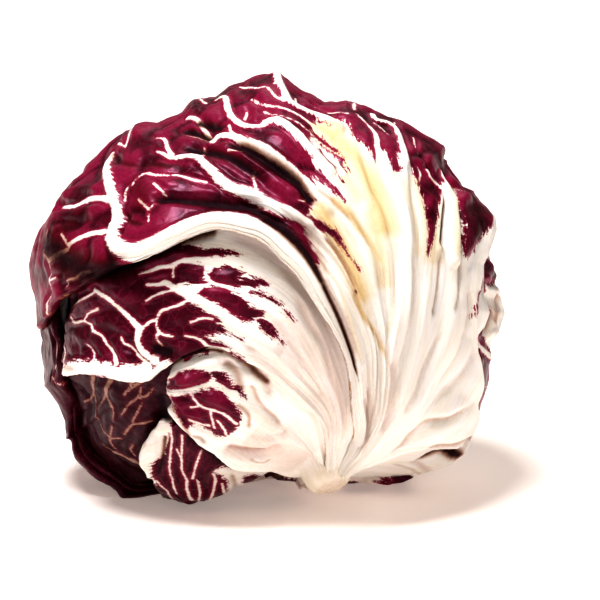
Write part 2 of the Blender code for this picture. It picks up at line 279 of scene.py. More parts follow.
    def point(self, directions: Array, inset: Array) -> Array:
        """Place directions in the head's frame, resting on its flat spot.

        Args:
            directions: Directions in the ball, of any length.
            inset: Depth below the ball's surface in millimetres.

        Returns:
            Positions in millimetres with +Z up.
        """
        unit = directions / np.linalg.norm(directions, axis=-1, keepdims=True)
        gain = self.outline_gain(np.arctan2(unit[..., 1], unit[..., 0]))
        edge = smoothstep(np.hypot(unit[..., 0], unit[..., 1]), *self.EDGE_BAND)
        offset = (self.bare_place(unit) * (1.0 + (gain - 1.0) * edge)[..., None]) @ np.array(self.axes)
        pull = np.minimum(self.centre[2] / np.maximum(-offset[..., 2], 1e-6), 1.0)
        offset = offset * pull[..., None]
        place = np.array(self.centre) + offset * (1.0 - inset / self.radius)[..., None]
        place[..., 2] = np.maximum(place[..., 2], 0.0)
        return place

    def butt_axes(self) -> tuple[Array, Array, Array]:
        """Find the directions round the stem.

        Returns:
            The stem direction in the ball and two directions square to it.
        """
        butt = np.array(self.butt_direction) / np.linalg.norm(self.butt_direction)
        first = np.cross(butt, np.array((0.0, 0.0, 1.0)))
        first = first / np.linalg.norm(first)
        return butt, first, np.cross(butt, first)

    def core_radius(self, distance: float) -> float:
        """Read the core's radius at a distance from the middle of the head."""
        return float(np.interp(distance, self.core_distances, self.core_radii))

    def start_angle(self, distance: float, ring: float) -> float:
        """Angle between the stem and a place on a ring round it, at a distance from the middle."""
        return math.asin(min(ring / distance, self.WIDEST_START))

    def stem_start(self, turn: float, inset: float, reach: float | None = None) -> Array:
        """Start a rail on the ring round the core.

        Args:
            turn: Degrees about the core.
            inset: Depth below the ball's surface.
            reach: Distance from the core's middle line, when the leaf climbs onto the core.

        Returns:
            A direction and the inset.
        """
        butt, first, second = self.butt_axes()
        distance = self.radius - inset
        if reach is None:
            reach = self.core_radius(distance) + self.stem_gap
        away = self.start_angle(distance, reach)
        spoke = math.cos(math.radians(turn)) * first + math.sin(math.radians(turn)) * second
        return np.array((*(math.cos(away) * butt + math.sin(away) * spoke), inset))

    def rail_point(self, across: float, up: float, side: int = 1, inset: float = 0.0) -> Array:
        """Turn one point of a rail into a direction.

        Args:
            across: Place to the right of the middle.
            up: Place above the middle.
            side: 1 on the near side, 0 on the rim and -1 on the far side.
            inset: Depth below the ball's surface.

        Returns:
            A direction and the inset.
        """
        angle = math.atan2(up, across)
        scale = 1.0 - inset / self.radius
        share = math.hypot(across, up) / (scale * float(self.rim_radius(np.array(angle))))
        share = self.LAST_SHARE if side == 0 else min(share, self.LAST_SHARE)
        depth = side * math.sqrt(1.0 - share**2)
        return np.array((share * math.cos(angle), share * math.sin(angle), depth, inset))


def cubic(four: list[Array], t: Array) -> Array:
    """Blend smoothly between the middle two of four values.

    Args:
        four: The values.
        t: How far between the middle two, from 0 to 1.

    Returns:
        The values at t.
    """
    before, start, end, after = four
    slope_in = (end - before) * 0.5
    slope_out = (after - start) * 0.5
    return ((2 * t**3 - 3 * t**2 + 1) * start + (t**3 - 2 * t**2 + t) * slope_in
            + (3 * t**2 - 2 * t**3) * end + (t**3 - t**2) * slope_out)


def with_ends(rows: Array) -> Array:
    """Add a mirrored row before the first and after the last."""
    return np.concatenate(([2 * rows[0] - rows[1]], rows, [2 * rows[-1] - rows[-2]]))


def smooth_through(points: Array, share: Array) -> Array:
    """Read the smooth curve through points.

    Args:
        points: Control values along the first axis.
        share: Where to read, from 0 to 1.

    Returns:
        One value for each share.
    """
    place = np.clip(share, 0.0, 1.0) * (len(points) - 1)
    index = np.minimum(place.astype(int), len(points) - 2)
    t = (place - index).reshape(-1, *([1] * (points.ndim - 1)))
    padded = with_ends(points)
    return cubic([padded[index + k] for k in range(4)], t)


def smoothstep(value: Array, low: float, high: float) -> Array:
    """Ease from 0 at low to 1 at high."""
    t = np.clip((value - low) / (high - low), 0.0, 1.0)
    return t * t * (3.0 - 2.0 * t)


def unit_rows(rows: Array) -> Array:
    """Make every row's first three numbers a unit direction."""
    return rows[:, :3] / np.linalg.norm(rows[:, :3], axis=1, keepdims=True)


@dataclass(frozen=True)
class Ripple:
    """A smooth random swell: a fixed sum of waves of about one length."""

    length: float
    seed: int
    waves: int = 16

    def at(self, places: Array) -> Array:
        """Read the swell, mostly between -1 and 1.

        Args:
            places: Rows of positions in the same unit as the length.

        Returns:
            One value for each row.
        """
        draw = np.random.default_rng(self.seed)
        heading = draw.normal(size=(self.waves, places.shape[-1]))
        heading /= np.linalg.norm(heading, axis=1, keepdims=True)
        pace = FULL_TURN / (self.length * draw.uniform(0.7, 1.4, self.waves))
        phase = draw.uniform(0.0, FULL_TURN, self.waves)
        waves = np.sin((places @ heading.T) * pace + phase)
        return waves.sum(axis=-1) / math.sqrt(self.waves * 1.1)


class Drawing:
    """Measures the places of one leaf against lines and patches laid on the ball."""

    STEP = 1.0
    RUN = 14

    def __init__(self, ball: HeadBall, directions: Array) -> None:
        """Keep the leaf's places as seen on the ball's surface.

        Args:
            ball: The head's ball.
            directions: Unit directions that the leaf's places are seen in.
        """
        self.ball = ball
        self.places = ball.bare_place(directions)
        self.flat = ball.flat_map(directions)

    def resample(self, points: Line, closed: bool = False) -> Array:
        """Turn a listed line into close steps in the near plane.

        Args:
            points: The line.
            closed: Whether it runs back to its first point.

        Returns:
            Rows of (across, up), smooth where the line has more than two points.
        """
        corners = np.array(points, float).reshape(-1, 2)
        if closed:
            corners = np.concatenate((corners, corners[:1]))
        length = float(np.linalg.norm(np.diff(corners, axis=0), axis=1).sum())
        share = np.linspace(0.0, 1.0, max(3, int(length / self.STEP) + 2))
        if len(corners) > 2:
            return smooth_through(corners, share)
        return corners[0] + share[:, None] * (corners[1] - corners[0])

    def to_line(self, line: Array, reach: float = FAR_AWAY) -> tuple[Array, Array]:
        """Measure from every place to an open line on the ball.

        Args:
            line: Rows of positions on the ball in millimetres.
            reach: Distance past which nothing is measured.

        Returns:
            The distances, and the share of the line at the nearest spot.
        """
        distance = np.full(len(self.places), np.inf)
        along = np.zeros(len(self.places))
        last = len(line) - 1
        for first in range(0, last, self.RUN):
            run = line[first:first + self.RUN + 1]
            low, high = run.min(axis=0) - reach, run.max(axis=0) + reach
            near = np.flatnonzero(((self.places > low) & (self.places < high)).all(axis=1))
            if len(near) == 0:
                continue
            start, step = run[:-1], run[1:] - run[:-1]
            square = np.maximum((step**2).sum(axis=1), 1e-9)
            offset = self.places[near][:, None, :] - start
            share = np.clip((offset * step).sum(axis=2) / square, 0.0, 1.0)
            gap = np.sqrt(((offset - share[..., None] * step)**2).sum(axis=2))
            nearest = gap.argmin(axis=1)
            rows = np.arange(len(near))
            found = gap[rows, nearest]
            better = found < distance[near]
            distance[near[better]] = found[better]
            along[near[better]] = (first + nearest + share[rows, nearest])[better] / last
        return distance, along

    def stroke(self, points: Line) -> tuple[Array, Array]:
        """Measure to a listed line: the distances, and the shares along it."""
        return self.to_line(self.ball.bare_place(self.ball.lift(self.resample(points))))

    def patch(self, points: Line) -> Array:
        """Measure how deep every place lies inside a patch.

        Args:
            points: The patch's outline.

        Returns:
            Distances to the outline, no more than FAR_AWAY and below 0 outside.
        """
        outline = self.ball.lift(self.resample(points, closed=True))
        distance = np.minimum(self.to_line(self.ball.bare_place(outline))[0], FAR_AWAY)
        corners = self.ball.flat_map(outline)
        inside = np.zeros(len(self.flat), bool)
        x, y = self.flat[:, 0], self.flat[:, 1]
        for (x0, y0), (x1, y1) in zip(corners, np.roll(corners, -1, axis=0)):
            if y0 == y1:
                continue
            crosses = (y0 > y) != (y1 > y)
            inside ^= crosses & (x < x0 + (y - y0) * (x1 - x0) / (y1 - y0))
        return np.where(inside, distance, -distance)


def widths_at(widths: Widths, along: Array) -> Array:
    """Read evenly spread widths at shares of a line."""
    return np.interp(along, np.linspace(0.0, 1.0, np.size(widths)), np.atleast_1d(widths))


def ridge_height(distance: Array, width: Array, rise: float) -> Array:
    """Height of a rounded ridge at a distance from its middle line."""
    return rise * width * np.clip(1.0 - (distance / (width * 0.75 + 0.5))**2, 0.0, 1.0)**1.5


def bounded(distance: Array) -> Array:
    """Keep distances between -FAR_AWAY and FAR_AWAY."""
    return np.clip(distance, -FAR_AWAY, FAR_AWAY)


# ---- leaves ----


@dataclass
class LeafSheet:
    """One wrapper leaf: a lofted sheet with its marks, thickness and free margins."""

    name: str
    rails: tuple
    columns: tuple[int, ...]
    rows: int
    marks: LeafMarks
    fan: RibFan | None = None
    ball: HeadBall = field(default_factory=HeadBall)
    thickness: float = 1.2
    pucker: float = 0.32
    ragged: float = 0.5
    curl: float = 1.0
    seed: int = 1
    white_start: float = 12.0
    # painted shade laid evenly over the whole leaf, for leaves that lie in shade
    overall_painted_shade: float = 0.0
    # painted shade: share of the blade's painted crest light that is taken away
    blade_painted_shade: float = 0.0

    COARSE = 4  # fine steps of the outer face in one step of the inner face
    FINE_STEPS = 401
    RAIL_STEPS = 240
    THINNEST_VEIN = 0.8
    CURL_REACH = 1.6
    BITES = (0.9, (9.0, 0.6), (2.6, 0.5))  # mean bite of the margin, then wave lengths and depths
    TIP_ZONE = (0.75, 1.0)
    SIDE_START = (0.1, 0.3)
    SIDE_ZONE = 0.15
    NEAR_EDGE = (0.06, -0.04)  # where a fan that is kept to the far side fades in
    BORDER_OVERLAP = 0.3
    FOLD_FLARE = 1.3
    FOLD_EASE = 0.9
    BLISTER_FADE = 2.2  # millimetres from a rib to the full height of the blisters
    WARP = (11.0, 2.0)  # wave length and height in millimetres, here and below
    LARGE_BLISTER = (19.0, 2.4)
    SMALL_BLISTER = (8.0, 0.45)
    BLISTER_TOP = 1.2
    SWELL = (21.0, 0.5)
    FLUTES = ((11.0, 0.50), (4.6, 0.20), (1.6, 0.04))
    FLUTE_STRETCH = 0.07

    def rail_table(self) -> Array:
        """Spread every rail evenly.

        Returns:
            Directions and insets, by rail and by step.
        """
        spread = []
        for start, *points in self.rails:
            seen = [self.ball.rail_point(*point) for point in points]
            vectors = np.array([self.ball.stem_start(*start), *seen])
            fine = smooth_through(vectors, np.linspace(0.0, 1.0, self.FINE_STEPS))
            steps = np.linalg.norm(np.diff(fine[:, :3], axis=0), axis=1)
            reached = np.concatenate(([0.0], np.cumsum(steps))) / steps.sum()
            wanted = np.linspace(0.0, 1.0, self.RAIL_STEPS + 1)
            spread.append(np.stack([np.interp(wanted, reached, fine[:, i]) for i in range(4)], axis=1))
        return np.array(spread)

    def read_table(self, table: Array, across: Array, along: Array) -> Array:
        """Read the lofted leaf.

        Args:
            table: The rails from rail_table.
            across: Shares from the first rail to the last, one for each place.
            along: Shares from the stem outwards, one for each place.

        Returns:
            Directions and insets, one row for each place.
        """
        place = np.clip(along, 0.0, 1.0) * self.RAIL_STEPS
        index = np.minimum(place.astype(int), self.RAIL_STEPS - 1)
        part = (place - index)[:, None]
        count = len(table) - 1
        spot = np.clip(across, 0.0, 1.0) * count
        rail = np.minimum(spot.astype(int), count - 1)
        padded = with_ends(table)
        four = []
        for k in range(4):
            near = padded[rail + k, index]
            four.append(near + (padded[rail + k, index + 1] - near) * part)
        return cubic(four, (spot - rail)[:, None])

    def shares(self) -> tuple[Array, Array]:
        """Lay the leaf's own coordinates.

        Returns:
            Shares across and along the leaf, from 0 to 1, at every grid place.
        """
        stops = [0.0]
        for j, count in enumerate(self.columns):
            stops.extend(j + (k + 1) / count for k in range(count))
        across = np.array(stops) / len(self.columns)
        return tuple(np.meshgrid(across, np.linspace(0.0, 1.0, self.rows + 1), indexing="ij"))

    def sizes(self, table: Array) -> tuple[float, float]:
        """Measure the leaf roughly.

        Args:
            table: The rails from rail_table.

        Returns:
            Its width and length in millimetres.
        """
        places = self.ball.point(table[..., :3], table[..., 3])
        length = np.linalg.norm(np.diff(places, axis=1), axis=2).sum(axis=1).mean()
        width = np.linalg.norm(np.diff(places[:, self.RAIL_STEPS // 2], axis=0), axis=1).sum()
        return float(width), float(length)

    def ragged_shares(self, across: Array, along: Array, width: float, length: float) -> tuple[Array, Array]:
        """Pull the free margins in by small uneven amounts, so that they are not ruled lines.

        Args:
            across: Shares across the leaf.
            along: Shares along the leaf.
            width: The leaf's width in millimetres.
            length: The leaf's length in millimetres.

        Returns:
            The new shares.
        """
        run = np.stack((across * width, along * length), axis=-1)
        mean, (slow, slow_depth), (quick, quick_depth) = self.BITES
        bite = mean + slow_depth * Ripple(slow, self.seed + 11).at(run)
        bite = np.maximum(self.ragged * (bite + quick_depth * Ripple(quick, self.seed + 12).at(run)), 0.0)
        tip = bite / length * smoothstep(along, *self.TIP_ZONE)
        side = bite / width * smoothstep(along, *self.SIDE_START)
        first = smoothstep(across, self.SIDE_ZONE, 0.0)
        last = smoothstep(across, 1.0 - self.SIDE_ZONE, 1.0)
        return across + (first - last) * side, along - tip

    def fan_lines(self, table: Array, width: float, length: float) -> list[tuple[Array, Widths]]:
        """Lay the ribs of the leaf's fan with their side veins.

        Args:
            table: The rails from rail_table.
            width: The leaf's width in millimetres.
            length: The leaf's length in millimetres.

        Returns:
            Lines on the ball with their widths.
        """
        if self.fan is None:
            return []
        fan = self.fan
        draw = np.random.default_rng(fan.seed)
        widths = (*(fan.base_width * part for part in fan.RIB_TAPER), fan.tip_width)
        found = []
        for k in range(fan.ribs):
            start = (k + 0.5 + draw.uniform(-fan.RIB_JITTER, fan.RIB_JITTER)) / fan.ribs
            lean = (start - 0.5) * fan.RIB_LEAN + draw.uniform(-fan.LEAN_JITTER, fan.LEAN_JITTER)
            share = np.linspace(0.0, 0.98, 40)
            sway = fan.RIB_SWAY * np.sin(share * draw.uniform(*fan.SWAY_PACE) + draw.uniform(0.0, 6.0))
            rib = np.stack((start + lean * share**1.5 + sway * share, share), axis=1)
            found.append((rib, widths))
            found.extend(self.side_veins(rib, draw, width, length))
        return [(self.ball.bare_place(unit_rows(self.read_table(table, flat[:, 0], flat[:, 1]))), widths)
                for flat, widths in found]

    def side_veins(self, rib: Array, draw: np.random.Generator, width: float,
                   length: float) -> list[tuple[Array, Widths]]:
        """Lay the side veins and twigs of one rib of the fan.

        Args:
            rib: The rib in the leaf's own coordinates.
            draw: Where the random sizes come from.
            width: The leaf's width in millimetres.
            length: The leaf's length in millimetres.

        Returns:
            Lines in the leaf's own coordinates with their widths.
        """
        fan = self.fan
        found = []
        side = 1.0 if draw.uniform() < 0.5 else -1.0
        spot = draw.uniform(*fan.FIRST_VEIN)
        while spot < fan.LAST_VEIN:
            side = -side
            reach = draw.uniform(*fan.VEIN_REACH) * (1.1 - 0.5 * spot)
            heading = math.radians(draw.uniform(*fan.VEIN_LEAN))
            bend = draw.uniform(*fan.VEIN_BEND)
            line = [np.array((np.interp(spot, rib[:, 1], rib[:, 0]), spot))]
            for _ in range(fan.VEIN_STEPS):
                jitter = draw.uniform(-fan.VEIN_JITTER, fan.VEIN_JITTER)
                heading -= bend * reach / fan.VEIN_STEPS * 3.0 + jitter
                step = np.array((side * math.sin(heading) / width, math.cos(heading) / length)) * reach
                line.append(line[-1] + step / fan.VEIN_STEPS)
            thick = draw.uniform(*fan.VEIN_WIDTH)
            found.append((np.array(line), (thick, thick * 0.7, fan.VEIN_TIP)))
            fork = line[draw.integers(*fan.FORK_STEPS)]
            turn = heading + side * draw.uniform(-fan.FORK_TURN, fan.FORK_TURN)
            stride = np.array((side * math.sin(turn) / width, math.cos(turn) / length))
            twig = [fork + stride * k * reach * 0.05 for k in range(8)]
            found.append((np.array(twig), (thick * 0.5, fan.FORK_TIP)))
            spot += draw.uniform(*fan.VEIN_GAP)
        return found

    def lay_marks(self, drawing: Drawing, lines: list[tuple[Array, Widths]], behind: Array,
                  stem_distance: Array) -> dict[str, Array]:
        """Turn the marks into colour fields and heights.

        Args:
            drawing: The leaf's places on the ball.
            lines: Ribs and veins of the fan.
            behind: 1 on the part of the leaf that the fan covers, 0 elsewhere.
            stem_distance: Distance from the stem along the leaf in millimetres.

        Returns:
            Fields by name; "rib" is the distance into white, "height" the rise in millimetres.
        """
        count = len(drawing.places)
        rib = np.full(count, self.marks.ground.value)
        for outline in self.marks.white:
            rib = np.maximum(rib, drawing.patch(outline))
        for outline in self.marks.red:
            rib = np.minimum(rib, -drawing.patch(outline))
        for streak in self.marks.streaks:
            distance, along = drawing.stroke(streak.points)
            rib = np.minimum(rib, distance - widths_at(streak.widths, along) / 2)
        ridge = np.zeros(count)
        neat = np.zeros(count)
        for vein in self.marks.veins:
            distance, along = drawing.stroke(vein.points)
            wide = np.maximum(widths_at(vein.widths, along), self.THINNEST_VEIN)
            calm = np.clip(1.6 - wide * 0.35, 0.35, 1.0)
            neat = np.where(wide / 2 - distance > rib - self.BORDER_OVERLAP, calm, neat)
            rib = np.maximum(rib, wide / 2 - distance)
            ridge = np.maximum(ridge, ridge_height(distance, wide, vein.rise))
        covered = behind > 0.5
        for line, widths in lines:
            distance, along = drawing.to_line(line)
            wide = widths_at(widths, along)
            rib = np.where(covered, np.maximum(rib, wide / 2 - distance), rib)
            ridge = np.maximum(ridge, ridge_height(distance, wide, Vein.rise) * behind)
        rib = np.maximum(rib, bounded(self.white_start - stem_distance))
        if self.fan is not None:
            rib = np.where(covered, np.maximum(rib, bounded(self.fan.white_base - stem_distance)), rib)
        return {"rib": bounded(rib), "neat": neat, **self.lay_folds(drawing, ridge)}

    def lay_folds(self, drawing: Drawing, ridge: Array) -> dict[str, Array]:
        """Turn the folds into heights and tints, several of which are painted shade.

        Args:
            drawing: The leaf's places on the ball.
            ridge: Height of the ribs and veins in millimetres.

        Returns:
            One field for each tint, and "height", the rise of it all.
        """
        fields = {tint.value: np.zeros(len(drawing.places)) for tint in Tint}
        groove = np.zeros(len(drawing.places))
        crest = np.zeros(len(drawing.places))
        for fold in self.marks.folds:
            distance, along = drawing.stroke(fold.points)
            half = np.maximum(widths_at(fold.widths, along) / 2, 0.2)
            taper = np.clip(np.minimum(along, 1.0 - along) * 8.0, 0.25, 1.0)
            flank = half * self.FOLD_FLARE + self.FOLD_EASE
            profile = np.clip(1.0 - (distance / flank)**2, 0.0, 1.0)**2 * taper
            groove = np.maximum(groove, fold.depth * profile)
            crest = np.maximum(crest, -fold.depth * profile)
            if fold.tint is not None:
                inner = np.maximum(half * fold.tint_share, 0.15)
                spread, share = fold.tint.spread
                mask = fold.strength * share * np.exp(-(distance / (inner * spread))**2)
                key = fold.tint.value
                fields[key] = np.maximum(fields[key], mask * np.clip(taper * 1.3, 0.0, 1.0))
        fields["height"] = ridge + crest - groove
        return fields

    def build(self) -> bpy.types.Object:
        """Build the leaf as one closed, finely divided sheet.

        Returns:
            The leaf's object at the origin, with its fields as attributes.
        """
        table = self.rail_table()
        width, length = self.sizes(table)
        across, along = self.shares()
        shape = across.shape
        across, along = (share.ravel() for share in self.ragged_shares(across, along, width, length))
        vectors = self.read_table(table, across, along)
        inset, unit = vectors[:, 3], unit_rows(vectors)
        behind = np.ones(len(unit))
        if self.fan is not None and self.fan.behind_only:
            behind = smoothstep(unit[:, 2], *self.NEAR_EDGE)
        drawing = Drawing(self.ball, self.seen_directions(unit, inset))
        fields = self.lay_marks(drawing, self.fan_lines(table, width, length), behind, along * length)
        margin = np.minimum((1.0 - along) * length, np.minimum(across, 1.0 - across) * width)
        relief, crest = self.blade_relief(unit, fields["rib"], across * width, along * length)
        height = fields.pop("height") + relief
        height -= self.curl * np.clip(1.0 - margin / self.CURL_REACH, 0.0, 1.0)**2
        # painted shade: the whole-leaf shade raises the shade field, and the crest field (painted light on
        # blister tops) is cut down for leaves that lie in shade
        fields.update(edge=margin, crest=crest * (1.0 - self.blade_painted_shade),
                      shade=np.maximum(fields["shade"], self.overall_painted_shade), grain_across=across * width,
                      grain_along=along * length)
        outer = self.ball.point(unit, inset - height).reshape(*shape, 3)
        step = self.COARSE
        low = lowest_nearby(height.reshape(shape), step)
        depth = inset.reshape(shape)[::step, ::step] - low + self.thickness
        inner = self.ball.point(unit.reshape(*shape, 3)[::step, ::step], depth)
        return closed_sheet(self.name, outer, inner, step, {k: v.reshape(shape) for k, v in fields.items()})

    def seen_directions(self, unit: Array, inset: Array) -> Array:
        """Find what stands on the ball's surface in front of places on a sunken leaf.

        Args:
            unit: Unit directions of the leaf's places.
            inset: Their depths.

        Returns:
            Unit directions that have the same across and up on the surface.
        """
        facing = smoothstep(unit[:, 2], 0.0, 0.45)
        plane = unit[:, :2] * (1.0 - np.maximum(inset, 0.0) / self.ball.radius * facing)[:, None]
        depth = np.sqrt(np.clip(1.0 - (plane**2).sum(axis=1), 0.0, 1.0))
        return np.concatenate((plane, np.where(unit[:, 2] < 0.0, -depth, depth)[:, None]), axis=1)

    def blade_relief(self, unit: Array, rib: Array, across: Array, along: Array) -> tuple[Array, Array]:
        """Raise the blisters of the red blade and the fine lengthwise ribs of the white parts.

        Args:
            unit: Unit directions of the leaf's places.
            rib: Distance into white.
            across: The leaf's own coordinate across it in millimetres.
            along: The leaf's own coordinate along it in millimetres.

        Returns:
            Heights in millimetres, and how far up a blister each place is, from 0 to about 1, which the
            finish turns into painted light on blister tops and painted shade in the hollows.
        """
        places = self.ball.bare_place(unit)
        blade = smoothstep(-rib, 0.0, self.BLISTER_FADE)
        length, height = self.WARP
        warp = np.stack([Ripple(length, self.seed + 40 + k).at(places) for k in range(3)], axis=1) * height
        (large_length, large_height), (small_length, small_height) = self.LARGE_BLISTER, self.SMALL_BLISTER
        large = np.minimum(np.abs(Ripple(large_length, self.seed + 1).at(places + warp)), self.BLISTER_TOP)
        small = np.minimum(np.abs(Ripple(small_length, self.seed + 2).at(places + warp)), self.BLISTER_TOP)
        blister = self.pucker * (large_height * large + small_height * small)
        length, height = self.SWELL
        swell = height * Ripple(length, self.seed + 4).at(places)
        stretched = np.stack((across, along * self.FLUTE_STRETCH), axis=1)
        fluted = sum(height * Ripple(length, self.seed + 5 + k).at(stretched)
                     for k, (length, height) in enumerate(self.FLUTES))
        return blister * blade + fluted * (1.0 - blade) + swell, (0.85 * large + 0.3 * small) / 1.1


def lowest_nearby(height: Array, reach: int) -> Array:
    """Find the lowest height round every coarse grid place.

    Args:
        height: Heights on the fine grid.
        reach: Fine steps in one coarse step.

    Returns:
        Heights on the coarse grid.
    """
    padded = np.pad(height, reach, mode="edge")
    low = height.copy()
    for i in range(0, 2 * reach + 1, 2):
        for j in range(0, 2 * reach + 1, 2):
            low = np.minimum(low, padded[i:i + height.shape[0], j:j + height.shape[1]])
    return low[::reach, ::reach]


def border(index: Array) -> Array:
    """List the indices round the border of a grid, in order, without repeating the first."""
    return np.concatenate((index[:-1, 0], index[-1, :-1], index[:0:-1, -1], index[0, :0:-1]))


def grid_faces(index: Array) -> Array:
    """List the four corners of every face between a grid's places."""
    return np.stack((index[:-1, :-1], index[1:, :-1], index[1:, 1:], index[:-1, 1:]), axis=-1).reshape(-1, 4)


def closed_sheet(name: str, outer: Array, inner: Array, step: int,
                 fields: dict[str, Array]) -> bpy.types.Object:
    """Join a fine outer grid and a coarse inner grid into one closed mesh.

    Args:
        name: Name of the piece.
        outer: Fine grid of positions in millimetres.
        inner: Grid of positions with one row and column for every step of the outer grid.
        step: Fine steps in one coarse step.
        fields: Values on the fine grid, kept as attributes.

    Returns:
        The new object.
    """
    fine = np.arange(outer.shape[0] * outer.shape[1]).reshape(outer.shape[:2])
    coarse = np.arange(inner.shape[0] * inner.shape[1]).reshape(inner.shape[:2]) + fine.size
    rim, hem = border(fine), border(coarse)
    half = step // 2
    partner = np.where(np.tile(np.arange(step), len(hem)) < half, np.repeat(hem, step),
                       np.repeat(np.roll(hem, -1), step))
    strips = np.stack((np.roll(rim, -1), rim, partner), axis=1)
    bridges = np.stack((rim[half::step], hem, np.roll(hem, -1)), axis=1)
    faces = [grid_faces(fine), grid_faces(coarse)[:, [0, 3, 2, 1]], np.concatenate((strips, bridges))]
    places = np.concatenate((outer.reshape(-1, 3), inner.reshape(-1, 3)))
    a, b, c = (places[faces[0][:, k]] for k in range(3))
    if (np.cross(b - a, c - a) * (a - np.array(HeadBall().centre))).sum() < 0.0:
        faces = [block[:, ::-1] for block in faces]
    obj = mesh_object(name, places * MM, faces)
    write_fields(obj, {key: np.concatenate((values.ravel(), values[::step, ::step].ravel()))
                       for key, values in fields.items()})
    return obj


def write_fields(obj: bpy.types.Object, fields: dict[str, Array]) -> None:
    """Keep values as attributes of a mesh.

    Args:
        obj: The object.
        fields: One value for each corner point of the mesh, by name.
    """
    for key, values in fields.items():
        layer = obj.data.attributes.new(key, "FLOAT", "POINT")
        layer.data.foreach_set("value", values.astype(np.float32))


def mesh_object(name: str, places: Array, faces: list[Array]) -> bpy.types.Object:
    """Make a smooth-shaded mesh object.

    Args:
        name: Name of the object.
        places: Positions in metres.
        faces: Arrays of corner indices, each with one face size.

    Returns:
        The new object, linked to the scene.
    """
    mesh = bpy.data.meshes.new(name)
    corners = np.concatenate([block.ravel() for block in faces]).astype(np.int32)
    sizes = np.concatenate([np.full(len(block), block.shape[1]) for block in faces])
    mesh.vertices.add(len(places))
    mesh.vertices.foreach_set("co", places.astype(np.float32).ravel())
    mesh.loops.add(len(corners))
    mesh.loops.foreach_set("vertex_index", corners)
    mesh.polygons.add(len(sizes))
    mesh.polygons.foreach_set("loop_start", (np.cumsum(sizes) - sizes).astype(np.int32))
    mesh.update(calc_edges=True)
    mesh.validate()
    mesh.shade_smooth()
    return linked(name, mesh)


def linked(name: str, data: bpy.types.ID) -> bpy.types.Object:
    """Make an object and link it to the scene.

    Args:
        name: Name of the object.
        data: Its mesh, light or camera.

    Returns:
        The new object.
    """
    obj = bpy.data.objects.new(name, data)
    bpy.context.scene.collection.objects.link(obj)
    return obj


# ---- rails: as in the solid model ----
# Each rail starts with its turn about the core in degrees, its inset and sometimes its distance
# from the core's middle line. Its points are (across, up, side, inset); a point without a side
# is on the near side, and one without an inset is on the ball's surface.

FRONT_RAILS = (
    ((184, -2.7, 2.4), (36, -45.4), (45, -42.6), (52.5, -40), (57.6, -36.8, 1, -0.2), (59.2, -33, 0, -0.2),
     (56.6, -29, 1, 0.2), (57.2, -23), (58.2, -16), (60.2, -8), (60.6, 1), (61.5, 10), (63, 22, 0),
     (56, 26, -1)),
    ((194, -2.7, 2.4), (33, -41), (42, -30), (48, -12), (52, 10), (52, 27), (49, 37, 0), (40, 31, -1)),
    ((206, -2.7, 2.4), (30.5, -39), (35, -25), (38, 0), (36, 20), (30, 38), (23, 53, 0), (18, 34, -1)),
    ((219, -2.7, 2.4), (28.5, -39), (31.5, -28), (31, -10), (24, 10), (8, 32), (-8, 48), (-14, 56, 0),
     (-8, 32, -1)),
    ((230, -2.7, 2.4), (27.4, -39, 1, 0.4), (29.5, -28, 1, 0.5), (28.5, -12, 1, 0.9), (21, 5, 1, 1),
     (7, 19, 1, 1), (-12, 26, 1, 1), (-30, 33), (-42, 42, 0), (-32, 26, -1)),
    ((240, -2.6, 2.6), (26.2, -39, 1, 0.8), (25.6, -28, 1, 0.2), (22.4, -14, 1, -1.8),
     (15.2, -0.8, 1, -2.6), (6, 11.5, 1, -2.9), (-4, 18, 1, -2.9), (-14, 19.5, 1, -2.9),
     (-24, 15.5, 1, -2.7), (-33, 10.9, 1, -2), (-42, 10.8, 1, -1), (-54, 9.5, 1, -0.2), (-63, 9, 0),
     (-54, 15, -1)),
    ((250, -1.6, 4), (23.8, -41, 1, 2.6), (23.9, -30, 1, 1.8), (20.8, -15), (14.2, -4, 1, -0.9),
     (8.4, 5, 1, -1.1), (2, 11.4, 1, -1.2), (-5, 15.6, 1, -1.2), (-13, 17.3, 1, -1.2), (-21, 14.8, 1, -1.1),
     (-29, 10.6, 1, -1), (-36, 9, 1, -0.8), (-46, 4.2, 1, -0.2), (-56, -1.4), (-63.5, -11, 0),
     (-58, 2, -1)),
)
MIDDLE_RAILS = (
    ((238, -0.9, 4.6), (26, -36, 1, 2.8), (27.5, -20, 1, 3.6), (20, 3, 1, 3.8), (5, 19, 1, 3.8),
     (-14, 24, 1, 3.8), (-30, 20, 1, 3.8), (-43, 13, 1, 3.6), (-55, 6, 1, 3.4)),
    ((252, -1.3, 4.6), (20.5, -36, 1, 2.6), (17, -24, 1, 3.6), (4, -4, 1, 3.8), (-18, 3, 1, 3.8),
     (-38, 2, 1, 3.6), (-56, -3, 1, 3.4)),
    ((262, -1.3, 4.8), (18, -36, 1, 3.2), (13, -28, 1, 3.6), (-2, -14, 1, 3.8), (-18, -8, 1, 3.8),
     (-38, -9, 1, 3.6), (-57, -12, 1, 3.4)),
    ((272, -1.1, 5), (16, -37.6, 1, 3.8), (10, -31, 1, 4.1), (0, -23, 1, 4.1), (-12, -16, 1, 3.6),
     (-21, -17.5, 1, 3), (-28, -22, 1, 1.8), (-34, -25.6, 1, 0.8), (-42, -24.8, 1, 0.6), (-50, -23, 1, 1),
     (-56, -23.4, 1, 2)),
)
